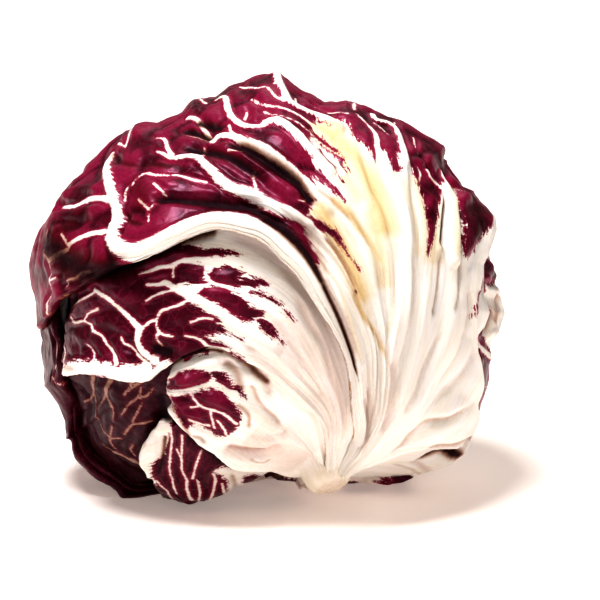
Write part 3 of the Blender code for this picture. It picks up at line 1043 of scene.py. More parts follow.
LOWER_RAILS = (
    ((263, 1.4, 5.4), (17.5, -34, 1, 5.4), (10.5, -26, 1, 5.8), (0, -17.5, 1, 6.2), (-13, -14.6, 1, 6.2),
     (-25, -18.4, 1, 5.6)),
    ((276, 0.2, 5.8), (10, -38, 1, 4.6), (3, -33.5, 1, 4.5), (-8, -27, 1, 4.3), (-18, -25, 1, 4.2),
     (-27.5, -26, 1, 4.4)),
    ((290, -0.2, 6.2), (11.5, -44, 1, 4.6), (2, -42, 1, 4.4), (-8, -36, 1, 4), (-18, -33, 1, 3.8),
     (-26, -30, 1, 4)),
    ((305, -0.2, 6.6), (12.5, -52.2, 1, 3), (6, -51.8, 1, 3.4), (0, -50.4, 1, 3.6), (-7.8, -48.8, 1, 3.2),
     (-15.6, -43.8, 1, 3.2), (-22.6, -38, 1, 3.4), (-26.8, -32, 1, 3.8)),
)
BOTTOM_RAILS = (
    ((286, 9.4), (4, -41, 1, 9.2), (-5, -40, 1, 8.4), (-14, -38, 1, 7.4), (-23, -36.5, 1, 6.6),
     (-30, -36, 1, 5.6)),
    ((299, 9.2), (2, -45, 1, 8.8), (-6, -46, 1, 7.4), (-16, -46, 1, 6), (-26, -45, 1, 4.8),
     (-35, -45, 1, 4)),
    ((309, 9), (0, -48.5, 1, 8.2), (-6, -50.5, 1, 6.6), (-14, -53, 1, 4.6), (-24, -52.5, 1, 3.4),
     (-32, -51.5, 1, 3.2)),
    ((318, 9), (-4, -53, 1, 6.2), (-11, -57, 1, 3.2), (-20, -59, 1, 2.2), (-29, -58, 1, 2.4)),
)
POCKET_RAILS = (
    ((280, 12.4), (2, -34, 1, 12.4), (-10, -25, 1, 11.4), (-24, -17, 1, 10), (-40, -14, 1, 8),
     (-54, -12, 1, 6)),
    ((293, 12.4), (-1, -38, 1, 12.2), (-13, -33, 1, 11.4), (-28, -28, 1, 10.2), (-43, -25, 1, 7.6),
     (-57.6, -23, 1, 5)),
    ((306, 12.4), (-2, -42, 1, 12), (-14, -40, 1, 11.6), (-28, -38, 1, 10.2), (-42, -37, 1, 7.2),
     (-54, -34, 1, 4.8)),
    ((320, 12.4), (-4, -45, 1, 11.8), (-14, -46.5, 1, 10.8), (-26, -48, 1, 9), (-38, -48, 1, 6.4),
     (-48.6, -46, 1, 4.6)),
    ((332, 12.4), (-4, -49, 1, 11.4), (-14, -52, 1, 10), (-27, -55.4, 1, 7.4), (-38, -54.4, 1, 5.2),
     (-45, -50, 1, 4.4)),
)
LEFT_RAILS = (
    ((2, 6.6), (1, -54, 1, 6.8), (-8, -56.5, 1, 6.2), (-20, -58.5, 1, 4.8), (-30, -57.5, 1, 4.4),
     (-36, -56, 1, 3.4), (-41.4, -53.4, 1, 3), (-48, -46.4, 1, 3.2), (-53, -36.6, 1, 3.4),
     (-56.2, -25.8, 1, 3.2), (-58.2, -16.5, 1, 3), (-59.4, -9, 1, 2.8), (-61, 2, 1, 2.8),
     (-63, 10, 0, 2.6)),
    ((20, 6), (3, -53.5, 0, 6), (-9, -56.5, 0, 4.8), (-24, -57, 0, 2.4), (-38, -56, 0, 0.6), (-44, -53, 0),
     (-50.5, -46, 0), (-55.4, -38, 0), (-59.4, -27, 0), (-61.5, -16, 0, 0.4), (-62.5, -7, 0, 1.4),
     (-63, 3, 0, 2.4), (-61, 12, -1, 2.6)),
    ((38, 5.4), (4, -51, -1, 5.2), (-10, -51, -1, 4.4), (-30, -47, -1, 2.6), (-45, -38, -1, 0.4),
     (-56, -22, -1, 0.2), (-60, -6, -1, 1), (-59, 12, -1, 2.6)),
    ((66, 5.4), (6, -44, -1, 5.4), (-10, -40, -1, 4.6), (-26, -34, -1, 2.8), (-38, -22, -1, 0.6),
     (-46, -6, -1, 0.4), (-49, 8, -1, 1.8), (-47, 22, -1, 2.4)),
)
UNDER_RAILS = (
    ((14, 5), (6, -53, -1, 2.4), (-4, -53.5, -1, 0.5), (-14, -53, -1, 0.3), (-22, -50, -1), (-29, -43, -1)),
    ((48, 4.6), (9, -53, -1, 0.6), (3, -52, -1, 0.2), (-4, -50, -1), (-10, -44, -1), (-13, -36, -1)),
    ((80, 4), (19, -53, -1, 0.5), (19, -51, -1), (15, -46, -1), (11, -40, -1), (7, -33, -1)),
    ((104, 3.4), (27, -48, 0, 3), (33, -51, 0, 0.6), (39, -54, 0, -1.6), (42, -51, -1, -0.4), (33, -40, -1),
     (24, -30, -1)),
)
ROLL_RAILS = (
    ((197, 2.6), (34, -43, 1, 3.6), (42, -40, 1, 4.4), (50, -36, 1, 4.4), (55, -31, 1, 4)),
    ((177, 2.2), (35, -47, 1, 2.4), (43, -45, 1, 3.2), (51, -42, 1, 2.6), (57, -36, 0, 1.6)),
    ((142, 2), (34, -50.5, 0, 1), (42, -49.5, 0, -0.2), (51, -46, 0, -0.8), (58, -39, 0, -0.4)),
    ((122, 2.2), (35, -48.5, -1, 1.6), (41, -46, -1, 1), (49, -38, -1, 0.6), (53, -31, -1, 0.8)),
)
RIGHT_RAILS = (
    ((206, 6), (34, -39.5, 1, 5.6), (42, -37, 1, 5.4), (50.5, -27, 1, 5), (54.5, -13, 1, 3.2),
     (56, 0, 1, 2.6), (58, 12, 1, 2.6), (60, 22, 0, 2.6)),
    ((156, 5.8), (33, -46, 0, 5.6), (44, -42, 0, 4.6), (56, -33, 0, 0.6), (61, -18, 0), (63, 0, 0, 0.2),
     (60, 12, -1, 1.4), (55, 23, -1, 2.6)),
    ((122, 5.8), (32, -42, -1, 5.6), (40, -36, -1, 4.6), (48, -24, -1, 2), (51, -8, -1, 0.8),
     (49, 10, -1, 1.2), (42, 25, -1, 2.6)),
    ((98, 5.8), (25, -39, -1, 5.6), (31, -31, -1, 3.8), (35, -20, -1, 1), (36, -4, -1, 0.8),
     (33, 14, -1, 1.2), (27, 29, -1, 2.6)),
)
BACK_RAILS = (
    ((44, 8.6), (0, -44, -1, 8), (-18, -35, -1, 6.8), (-34, -23, -1, 4.6), (-46, -8, -1, 3.6),
     (-48, 10, -1, 4.6), (-42, 27, -1, 5.2)),
    ((60, 8.6), (6, -41, -1, 7.4), (-8, -27, -1, 5.4), (-20, -10, -1, 2.8), (-24, 12, -1, 2.6),
     (-24, 33, -1, 5.2)),
    ((76, 8.6), (12, -38, -1, 7.4), (6, -25, -1, 4.4), (2, -6, -1, 1.6), (0, 16, -1, 1.8),
     (-4, 37, -1, 5.2)),
    ((92, 8.6), (19, -36, -1, 8), (20, -24, -1, 5.2), (22, -6, -1, 2.8), (20, 14, -1, 2.8),
     (14, 35, -1, 5.2)),
    ((108, 8.8), (27, -34, -1, 8.4), (34, -23, -1, 5.2), (41, -6, -1, 4), (39, 14, -1, 4.2),
     (31, 31, -1, 5.4)),
)


# ---- marks of the leaves, from the outermost in ----

FRONT_MARKS = LeafMarks(white=(
    (27, -52, 23.5, -36, 22.5, -27, 19.5, -15, 14.5, -5, 11, 3, 15, 8, 12.5, 14, 11, 19, 14, 26, 13, 36,
     13, 45, 16, 49.2, 22, 47.5, 26, 44.5, 30, 40, 36, 38, 40, 37, 44, 34, 48, 30, 50, 30.5, 51.8, 33.5,
     53.4, 31.4, 56, 29, 62, 24, 68, 20, 70, 0, 68, -12, 64, -30, 61, -40, 50, -52, 36, -60),
    (46.2, 41, 47, 39.2, 49.5, 38, 51.5, 41, 48, 44),
    (18, -60, 16, -50, 18, -42, 27, -38, 32, -46, 30, -60),
    (-41, 18.8, -38.6, 14.6, -34, 12.6, -30, 13.6, -25, 16.8, -20, 19.4, -15, 20.8, -10, 20.9, -5, 19.8,
     0, 18, 6, 14, 12, 8, 18, -3, 22, -12, 25, -22, 27.6, -34, 26, -46, 22, -38, 20.6, -24, 16, -11, 8, 1,
     -2, 9, -13, 12.8, -22, 9.4, -29, 6.8, -33.6, 7.4, -37.4, 8.6, -40.6, 11, -42.6, 13.8, -43, 17),
), red=(
    (6.5, 57.5, 13.5, 55, 14.5, 53, 18, 49.8, 13, 50.7, 9.3, 52),
    (25.5, 52.5, 30, 50, 29.5, 48.5, 25.2, 50),
    (23.3, 48, 23.5, 46, 25, 43.5, 27, 41, 28.5, 40, 31, 35, 30.3, 40, 30.2, 43, 29.5, 45, 27.5, 47.3,
     25, 48.8),
    (30.5, 45, 31.5, 43.5, 32.3, 41, 33.8, 37, 35, 33.5, 37.2, 33, 36.5, 36, 36, 42, 34.5, 44),
    (37.8, 44.5, 38.8, 42, 39, 39.5, 39.8, 38.5, 40, 35.5, 41, 34, 42.2, 30, 43, 31, 43, 28, 44, 26,
     44.8, 22, 45.3, 16, 45, 10, 46.8, 15, 47.8, 20, 48.6, 26, 49.2, 31, 51.4, 36, 49, 42, 44, 46),
    (55, 29.5, 59, 27, 62.3, 23, 60.5, 19.5, 60, 17, 58.5, 14, 57.5, 11.5, 56, 9.5, 54.6, 10.5, 54.9, 20,
     54.4, 27),
    (52, 32.5, 54.5, 29.8, 53.5, 28.5),
), streaks=(
    Streak((4, 52.2, 8, 50.6, 12, 49.2, 16, 47.6, 19, 46), (1.6, 1.8, 1.6, 1.2, 0.3)),
    Streak((3, 48.8, 7, 47.2, 11, 45.2, 15, 42.6, 18.5, 39.6, 21, 37, 23, 33.5),
           (1.2, 1.6, 2, 2.6, 2.6, 2, 0.3)),
    Streak((2, 42.5, 5, 40, 9, 37, 13, 33.8, 17, 30, 20, 26.8, 22, 24.5), (3.4, 4.2, 4.2, 3.2, 2, 1, 0.3)),
    Streak((8, 21, 12, 19.8, 16, 17.8, 19.5, 16, 22.5, 11.8, 26.5, 6), (1.4, 2, 2.4, 2, 0.8, 0.3)),
    Streak((15, 53.7, 19, 52.6, 24, 51.2), (1.4, 2.2, 1.6)),
    Streak((31, 47.3, 33.5, 46, 34.5, 44.8), (1, 1, 0.6)),
    Streak((35.5, 48.2, 40, 45.6, 43.5, 43, 46.5, 41), (1.2, 3, 3.4, 2)),
    Streak((15.5, 39.5, 18, 36, 22, 31), (0.8, 1, 0.3)),
    Streak((63.2, 16.5, 64.8, 15.5, 64.3, 12), (1, 1.4, 0.8)),
    Streak((60.4, 3.4, 59.6, 0, 58.4, -3, 57.2, -6.8), (0.6, 1.6, 1.8, 0.4)),
), veins=(
    Vein((-43, 38.5, -43.5, 35, -42.5, 31, -41.5, 27, -40.5, 23, -40, 18), (2.2, 2.8, 3.2, 3.6, 4), 0.45),
    Vein((-41, 18, -40.3, 14, -38, 11.4, -34.5, 10.6, -30.5, 11.5, -26, 14, -21, 16.8, -16, 19, -11, 19.5,
         -6, 18.6, -1.5, 16.4, 3, 13.6, 7, 10.5, 10.5, 6.8, 13, 3, 16.5, -3.5, 21, -12.5, 24, -22,
         25.5, -31, 26, -40),
         (3.6, 4.2, 4.5, 4.6, 5, 4.4, 4, 3.8, 3.8, 4.2, 4.8, 5.2, 5.4, 5.4, 5.2, 4.6, 3.6, 3.2, 3.4, 4),
         0.42),
    Vein((-57.5, 24, -54, 24, -50, 25.5, -45, 25.8, -42, 25), (1.2, 1.6, 2)),
    Vein((-43.5, 16.5, -47, 16.2, -50, 15.5, -53, 13.8, -54.5, 11.5, -57, 10, -59.5, 8.3), (1.9, 1.5, 1.2)),
    Vein((-54.3, 13, -55.5, 16), (0.7, 0.5)),
    Vein((-60.2, 10.3, -59.5, 9, -60, 3, -60, 0, -61, -3, -61.8, -6), (0.7, 1.2)),
    Vein((-60, 3, -57.5, 4), 0.5),
    Vein((-59, 17, -58.8, 13.5), 0.5),
    Vein((-54.5, 1.5, -54.3, 3.2, -52, 3.8, -50, 5.2, -47, 5.5), 0.8),
    Vein((-36.7, 46, -38, 42, -38.8, 40), 0.8),
    Vein((-41, 41.5, -39, 40.5), 0.8),
    Vein((-38.2, 25, -37.5, 28, -35.5, 30, -33, 32.5, -30, 32, -26, 31.8, -24, 32.2, -20, 31, -16, 30.2),
         (1, 0.7)),
    Vein((-31, 22, -34, 25), 0.6),
    Vein((-31.2, 19, -31, 22, -29.5, 23.5), 0.7),
    Vein((-30, 29.5, -27, 26.5), 0.6),
    Vein((-30, 43, -28, 42.8, -27, 40, -25.5, 37.5), (0.8, 1.5)),
    Vein((-16.8, 40.3, -17, 37), 0.5),
    Vein((-9.9, 46.5, -9.2, 44.5, -8, 43.2), 0.6),
    Vein((-14.5, 42, -19, 43.5, -22, 43.8), 0.5),
    Vein((-10, 38.7, -7.5, 38.5, -6, 39.3), 0.5),
    Vein((-4.9, 50.5, -5.5, 48), 0.6),
    Vein((-18.3, 54.2, -17.5, 53, -16.2, 52.3), 0.8),
    Vein((9.5, 25, 11, 25.2, 11.7, 26.3), 0.5),
    Vein((-30, 39, -28.5, 38.5, -27, 37.5, -25, 36.8, -20, 37, -18, 36.7, -16.5, 35, -14, 32.5, -12, 30.5,
         -10, 29, -6, 27.5, -2, 26, 0, 24.5, 4, 22.5, 8, 20.8, 12, 18.5), (0.8, 1.8, 2.6, 3.2, 2.8), 0.4),
    Vein((-2.8, 33.2, -3, 31, -2.3, 28.5, -1.8, 26), 0.7),
    Vein((-22, 49, -19, 47.8, -17.5, 46.5, -16, 44, -14.5, 41.8), 1.5),
    Vein((-14.2, 41.5, -12.5, 43.5, -10, 43.2, -8, 42.5, -5, 41, 0, 38.5, 4, 36, 8, 33, 12, 29.5, 14, 27,
         17, 23), (2, 2.4, 2.8, 3.4), 0.4),
    Vein((-13.8, 53.8, -12, 54.3, -10.8, 53.5, -10.3, 51, -9.5, 49, -8, 47.5, -5.5, 46, -3, 45.3,
         -0.5, 45.5, 0.5, 46.8, 2.5, 47, 5, 45.5, 8, 43, 11, 40, 14, 37.5, 18, 34), (1.3, 2, 2, 3, 3.5),
         0.4),
    Vein((-3.5, 53.5, -1.5, 52.3, 2, 51, 6, 50, 10, 48.3, 14, 46, 18, 43), (0.8, 1.6)),
    Vein((-7, 58, -5, 56.8, -2, 56, 0.5, 56, 2, 54.5, 3.5, 53, 5.5, 52.2), 1),
    Vein((0, 50, 2, 48.8, 5, 47.8, 10, 45.5, 15, 42, 19, 39, 22, 37), 0.5),
    Vein((3, 60.4, 4, 57.5, 5.5, 55, 6.5, 52.8, 9, 51.5, 12, 50.5, 16, 49.5, 20, 46), (2.2, 3, 3.4, 4.2),
         0.4),
    Vein((2.5, 57.2, 4.5, 56), 0.5),
    Vein((8.9, 55, 8.6, 53), 0.6),
    Vein((14.5, 54, 16, 52.5, 19, 51, 23, 49.5), 1),
    Vein((25, 53, 24.8, 50.5), 1),
    Vein((25.5, 49.3, 27.5, 47.5, 29.5, 45.3, 30.7, 43, 31, 40, 31.5, 36), (0.6, 2)),
    Vein((30.5, 47, 33, 45, 34.5, 44), 0.5),
    Vein((30, 49.5, 31, 47.8, 34, 47.3, 36.5, 45.5, 37.8, 43, 38.2, 40, 38.5, 36), (1.8, 2.4, 3), 0.4),
    Vein((36.2, 47.3, 36, 46), 0.5),
    Vein((41.5, 43, 42.3, 40.5), 0.6),
    Vein((42.5, 34.5, 43.5, 33, 43, 31), 0.6),
    Vein((45.3, 33.7, 46.5, 31.5, 48.5, 29, 49.5, 27, 49.3, 20, 48.5, 12), 1.4, 0.6),
    Vein((50.4, 34.5, 51, 31.5, 51.8, 28, 52, 22, 52.2, 15, 52, 9), (1.4, 2.2, 3, 3.6), 0.5),
    Vein((61.8, 23, 64.3, 21, 64.2, 18, 63.2, 14, 62, 9), (1.2, 2.2)),
), folds=(
    Fold((-31, 24, -27, 25.3, -20, 25, -12, 24.5, -4, 23.5, 0, 21, 4, 19, 8, 17), (2.4, 3.4, 3.4, 2.6), 2.2,
         SHADE, 0.9),
    Fold((-2, 20.4, 2, 18.8, 6, 16.2, 9.4, 12.6, 12, 8.8, 14.4, 4.4, 16, 1),
         (2.2, 3.4, 4.4, 4.2, 3.2, 2.4, 2), 2.2, SHADE, 1, 0.85),
    Fold((14.4, 4.4, 16.8, -0.8, 19.6, -6.4, 22, -12, 24, -18, 25.4, -24), (2.4, 2, 1.6, 0.8), 2, SHADE,
         0.9, 0.7),
    Fold((15.6, 4.8, 18, -0.6, 20.8, -6.2, 23.2, -12, 25, -18), (2.6, 2.2, 1.4), 0.4, TAN, 0.55, 0.8),
    Fold((7, 18.8, 10.5, 16.4, 13.5, 12.8, 15.8, 8.6, 17.6, 4), (4.8, 4.4, 3.2, 2.4), 0.8, TAN, 0.7, 0.8),
    Fold((20, 2, 24, -12, 26.5, -20), (1.4, 1.2), 0, YELLOW, 0.5),
    Fold((-12, 40, -6, 39.8, 0, 36, 5, 33.5, 9, 30.5, 12, 26, 14, 24), (3.4, 4.8, 4.4, 2.6), 1.8, SHADE,
         0.95),
    Fold((-24, 40, -17, 39, -10, 37, -5, 34, 0, 31), (3, 3.8, 2.8), 1.4, SHADE, 0.9),
    Fold((-13, 40.5, -8, 38, -3, 34.5, 2, 31, 6, 28, 10, 25), (3.6, 4, 3), -1),
    Fold((-23, 45.4, -19, 44.4, -14, 42.2), 3, 1.2, SHADE, 0.9),
    Fold((-19, 47.2, -15, 46.4, -11, 45.4), 3.6, 1.2, SHADE, 0.9),
    Fold((43.5, 39, 45, 36, 47, 34, 48.5, 31.5, 49.5, 29.5), (2, 1.6), 1.6, SHADE),
    Fold((49.8, 29, 50.2, 26, 49.8, 22, 49.3, 16, 48.8, 11.5), (1.6, 1.4), 1.8, SHADE),
    Fold((48.8, 11.5, 48.2, 3, 47.5, -3, 46.5, -7), (1.6, 1), 0.9, TAN, 0.8),
    Fold((53.5, 27, 54.5, 22, 54, 16, 54, 9.5), (1.5, 1.3), 1.8, SHADE),
    Fold((54, 9.5, 53.5, 3, 53, -1, 51.5, -6), (1.5, 0.8), 0.9, TAN, 0.8),
    Fold((16.5, 15.5, 18, 13.8, 20, 11.5, 21.5, 9, 23, 6, 24.3, 2.5, 25, 0), (1.6, 1.4), 0.9, TAN),
    Fold((25, 0, 25.5, -2, 27, -5.5, 29, -9, 31, -12, 34.5, -20), (1.3, 1.3), 0.8, YELLOW, 0.9),
    Fold((24.9, 0.4, 25.1, -1), 1, 0.3, SHADE, 0.8),
    Fold((8, 18, 11, 15, 15, 12, 17, 11), (2.4, 1.6), 0.3, TAN, 0.35),
    Fold((14, 28.4, 19, 24.4, 24, 19.4), (2.6, 2), 0.5, TAN, 0.75),
    Fold((23, 22, 26, 18, 29, 12), 2, 0.4, TAN, 0.55),
    Fold((16, 22, 20, 20, 24, 15, 26, 12), (2, 1.6), 0.5, YELLOW, 0.5),
    Fold((17, 26, 20, 24, 24, 21, 26, 18, 29, 14.5, 31, 11, 34, 5), (3.6, 3.6, 2), 0.7, YELLOW, 0.9),
    Fold((22, 33, 25, 29, 28, 24), 7, 0.4, YELLOW, 0.75),
    Fold((12, 25, 17, 20, 21, 14, 24, 8, 26, 2, 28, -5), 6, 0.4, YELLOW, 0.95),
    Fold((30, 16, 32, 8, 33, 0), 7, 0.3, YELLOW, 0.65),
    Fold((36, 34, 39, 27, 42, 18, 43, 8), 5, 0.2, YELLOW, 0.5),
    Fold((51.6, 31, 52, 20, 52, 8), 3, 0, YELLOW, 0.6),
    Fold((9, 20, 14, 19.6, 18, 16.4, 21, 11), (4, 2.8), 0.8, TAN, 0.4),
    Fold((14, 49, 22, 40, 30, 28, 34, 12), 11, 0, YELLOW, 0.95),
    Fold((42, 34, 46, 20, 46, 6), 9, 0, YELLOW, 0.6),
    Fold((32, -6, 31, -20, 27, -38), 8, 0, ROSE_SHADE, 0.25),
    Fold((13, 12, 16.5, 7, 20, 2, 22.4, -5, 24.6, -12, 26.8, -20), (1.4, 1.4), -0.5, YELLOW, 0.45),
    Fold((27, -28, 28.3, -33, 28.7, -36, 28, -39, 26, -43.5), 1.2, 0.9, ROSE_SHADE),
    Fold((28.5, -26, 29.5, -33, 28.5, -38), 0.9, 0.5, ROSE_SHADE, 0.8),
    Fold((34.5, -18, 36, -24, 35, -29, 33.5, -34, 32, -40), (2.4, 1.6), 0.9, ROSE_SHADE, 0.7),
    Fold((49.8, -9, 46.5, -16.5, 44, -22, 42, -27, 39.5, -31, 38, -34), (2.2, 1.6), 0.8, TAN, 0.35),
    Fold((56, -30, 50, -34, 45, -36, 42, -38.5, 38, -42.5, 33.5, -45.5), 1.4, 0.9, TAN, 0.7),
    Fold((59, -15, 55, -22, 49, -29, 43, -34), (2.4, 1.4), 0.6, ROSE_SHADE, 0.5),
    Fold((40, 12, 41, 2, 40, -10, 37, -22), (1.6, 1), 0.7, ROSE_SHADE, 0.5),
    Fold((57, 2, 56.5, -8, 53, -18, 47, -27), (1.6, 1), 0.6, ROSE_SHADE, 0.45),
    Fold((33, 20, 35, 8, 35.5, -4, 34, -14), (2, 1.2), 0.7, YELLOW, 0.4),
    Fold((57, -37.8, 54, -38.5, 50, -40.3, 46, -41.5, 42, -44, 38, -46, 33, -49), 1.4, 1.1, TAN, 0.85),
    Fold((24, 40, 27, 30, 29, 20), (3, 2), -0.6),
    Fold((38.5, 40, 38.5, 28, 39, 14, 38, -2, 35, -18, 31, -32), (3.4, 3.6, 3), -0.8),
    Fold((45, 6, 44, -6, 40.5, -20, 34.5, -34), (3.4, 3), -0.8),
    Fold((52, 4, 51, -8, 46, -22, 38, -36), (3.4, 3), -0.8),
    Fold((-43.5, 39, -40, 36, -36, 35, -32, 36), 2.6, 0.9, SHADE, 0.5),
    Fold((-38.5, 22, -36, 19, -32, 18), 2.4, 1, SHADE, 0.6),
    Fold((-47, 21, -52, 19, -57, 19.5), (3, 2), 0.9, SHADE, 0.4),
    Fold((-46, 29, -52, 29, -57, 27), (2.6, 2), -0.9),
    Fold((-61, 16, -54, 8, -45, 5, -38, 8), (13, 13, 8), 0, SHADE, 0.8),
    Fold((-36, 30, -33, 26, -34, 21), 9, 0, SHADE, 0.45),
    Fold((-48, 22, -53, 20, -57, 15), 8, 0, SHADE, 0.55),
    Fold((59, 25, 57.5, 14), 7, 0, SHADE, 0.5),
    Fold((45.6, 38, 47, 28, 46, 17), 4, 0, SHADE, 0.4),
    Fold((-33, 36, -27, 34.6, -21, 33.8), 3.4, 1, SHADE, 0.6),
    Fold((-47, 11, -52, 9, -56, 6), (3, 2), 0.8, SHADE, 0.4),
))

MIDDLE_MARKS = LeafMarks(white=(
    (-22, 10.5, -22, 14, -16, 18, -10, 20, 4, 22, 20, 8, 30, -14, 30, -46, 12, -48, 8, -33, -2, -25,
     -6, -18.5, -14, -13.5, -16, -12, -10, -11, -16, -6.5, -20, -3, -24, 1, -22, 5),
    (-54.5, -20, -51, -18.5, -43, -19, -40, -19.5, -36, -20, -32, -19, -30, -20.5, -28, -19, -26.5, -19,
     -26, -20, -27, -22, -30, -25, -33, -26.5, -36, -26.5, -40, -26, -42.5, -25, -44, -23, -50, -23,
     -55, -24, -57, -21),
), red=(
    (-30, 10, -25, 11.6, -20, 12.5, -14, 12, -8, 11, -7, 10, -12, 9.8, -20, 9.2, -30, 7.8),
    (-30, 5, -25, 7, -20, 7.7, -16, 6.5, -17, 4, -15, 2.5, -19, 2, -25, 3),
    (-15.5, 5, -12, 6.7, -8, 6.5, -5, 5.2, -7, 4, -1, 3.5, 0.5, 1.7, -6, 1.3, -13, 2.5),
    (-18, 0, -15, 1.3, -12, 1.2, -9, 0.3, -3, -4, 0, -6, -4, -8, -7, -7.5, -10, -5, -14, -2.5, -18, -1),
    (-3.5, -6, 0, -7.5, 3, -10, 4, -12.5, 0, -11),
    (-29, -8, -27, -5, -20, -3.3, -17, -5, -12, -7.5, -14, -9.5, -17, -12, -27, -11),
    (-29, -1, -25, 0, -21.5, -1.5, -24, -3, -28, -4.5),
    (-27, -12, -20, -13, -18.5, -15, -26, -17),
    (-15.5, -13.5, -12, -14.2, -9, -15.8, -12, -15.6),
), streaks=(
    Streak((-4, 0.2, 0, -1, 3, -2.6, 5.5, -4), (0.9, 0.8, 0.5, 0.3)),
    Streak((5.8, -5.4, 8.6, -8.2), (0.6, 0.3)),
    Streak((4.6, -13.4, 5.6, -15), (0.5, 0.3)),
    Streak((-12, -10, -9, -11.6, -6, -13.2), (0.8, 0.5, 0.3)),
), veins=(
    Vein((-46.3, 0.5, -45, -0.3, -42, -2, -40, -4, -37.5, -6.5, -35, -8.8, -33.5, -9.8), (1.2, 1.8)),
    Vein((-33.8, -10, -34, -13, -33.3, -16, -31, -18, -29.5, -18.8), 2, 0.5),
    Vein((-46, 0, -50, -2, -54.5, -4), 0.5),
    Vein((-34.5, 5, -31, 6, -29, 6.8, -25, 7.2, -22, 8.5, -15, 9), (0.8, 1.6)),
    Vein((-32.3, -2.5, -30, -1, -27, 0, -25, 0.5), 0.7),
    Vein((-32.5, 2, -29, 2, -27, 2.5, -24, 0.8, -20, -1, -16, -3, -12, -5.5, -8, -8.5, -4, -11, 2, -15),
         (0.8, 2, 3, 4)),
    Vein((-33, -9.8, -31, -8, -29.5, -7.5, -28.5, -5.5, -26, -4.5, -23, -3.5, -20, -2), 0.9),
    Vein((-29.5, -7.5, -29.3, -10, -28, -11.5, -25, -12.2), 0.6),
    Vein((-29, -11, -29.3, -13, -28.5, -15), 0.5),
    Vein((-16, 6.5, -16, 5, -14.5, 3, -13, 2, -9, 1, -5, -0.5, 0, -4, 3, -7), 0.9),
    Vein((-18, 0, -16, 1.8, -14.5, 2.5), 0.8),
    Vein((-25, 7, -25, 4), 0.6),
    Vein((-54.5, -7, -53, -8.5, -50, -8, -48, -9, -45, -11.5, -43.5, -14, -41.5, -17, -40, -19.5),
         (0.6, 1.3)),
    Vein((-49.8, -7.8, -48.5, -6, -45.5, -4.8), (0.5, 0.3)),
    Vein((-38.8, -12.5, -38, -14, -36, -15.5, -34, -18, -32, -19.5), (0.7, 1.1)),
    Vein((-48.5, -14.5, -46.5, -18.3), 0.5),
    Vein((-57.5, -11.5, -57.5, -14, -56, -17, -55.5, -21), 1),
    Vein((-21.5, -12, -18, -13, -15, -15.5, -10, -16), (0.8, 1.5)),
    Vein((-20, -8.4, -17, -7.2, -14, -7.4), 0.4),
), folds=(
    Fold((-34, 9.6, -28, 12, -20, 15.6, -12, 17.6), (4.6, 4.6, 3), 1.2, SHADE, 0.8, 0.8),
    Fold((-12, 17, -4, 14.6, 4, 9.6, 10, 2.4, 15, -5.6, 19, -16, 21.5, -28, 22.5, -40), 4, 1, ROSE_SHADE, 0.8,
         0.8),
    Fold((-55, 1, -50, 4, -45, 6, -38, 8, -31, 10), 5, 1.2, SHADE, 0.95, 0.8),
    Fold((-60, -12, -58, -8, -55, -4, -52, 0), 3.4, 1, SHADE, 0.9),
    Fold((8, 3, 11.5, -7, 15, -12, 17, -15, 18.5, -22, 20, -27, 21.2, -31, 23, -43), 2.2, 0.9, ROSE_SHADE, 0.9),
    Fold((5, -12, 10, -18, 14, -24, 17, -31), 1.8, 0.7, ROSE_SHADE, 0.7),
    Fold((-6, -14, 0, -19, 6, -24, 11, -30), 2.2, 0.6, ROSE_SHADE, 0.5),
    Fold((2, -6, 9, -16, 16, -28, 20, -42), 12, 0, ROSE_SHADE, 0.55),
    Fold((2, -4, 8, -11, 12, -18, 16, -27), 3, -0.6),
    Fold((-3, -12, 4, -18, 9, -24), 3, -0.5),
    Fold((-54, -12, -48, -12.5, -44, -8, -38, -9), 3, -1),
    Fold((-44, 3, -40, 1, -38, -3), 5, -1.2),
    Fold((-56, -20.5, -50, -20.2, -43, -20.8, -36, -22.8, -31, -22, -27, -20), (3, 4, 5.6, 4.4, 3), -1.8),
    Fold((-55.5, -21, -53, -20.6, -51, -20.4), 2, 0, TAN, 0.7),
    Fold((-52, -12, -51.4, -15, -51, -18), 0.8, 0.3, TAN, 0.7),
    Fold((-31, -15.5, -28, -16.5, -25, -17), 4.6, 1, SHADE, 0.9),
    Fold((-36, -13, -36.5, -17), 3, 0.6),
))

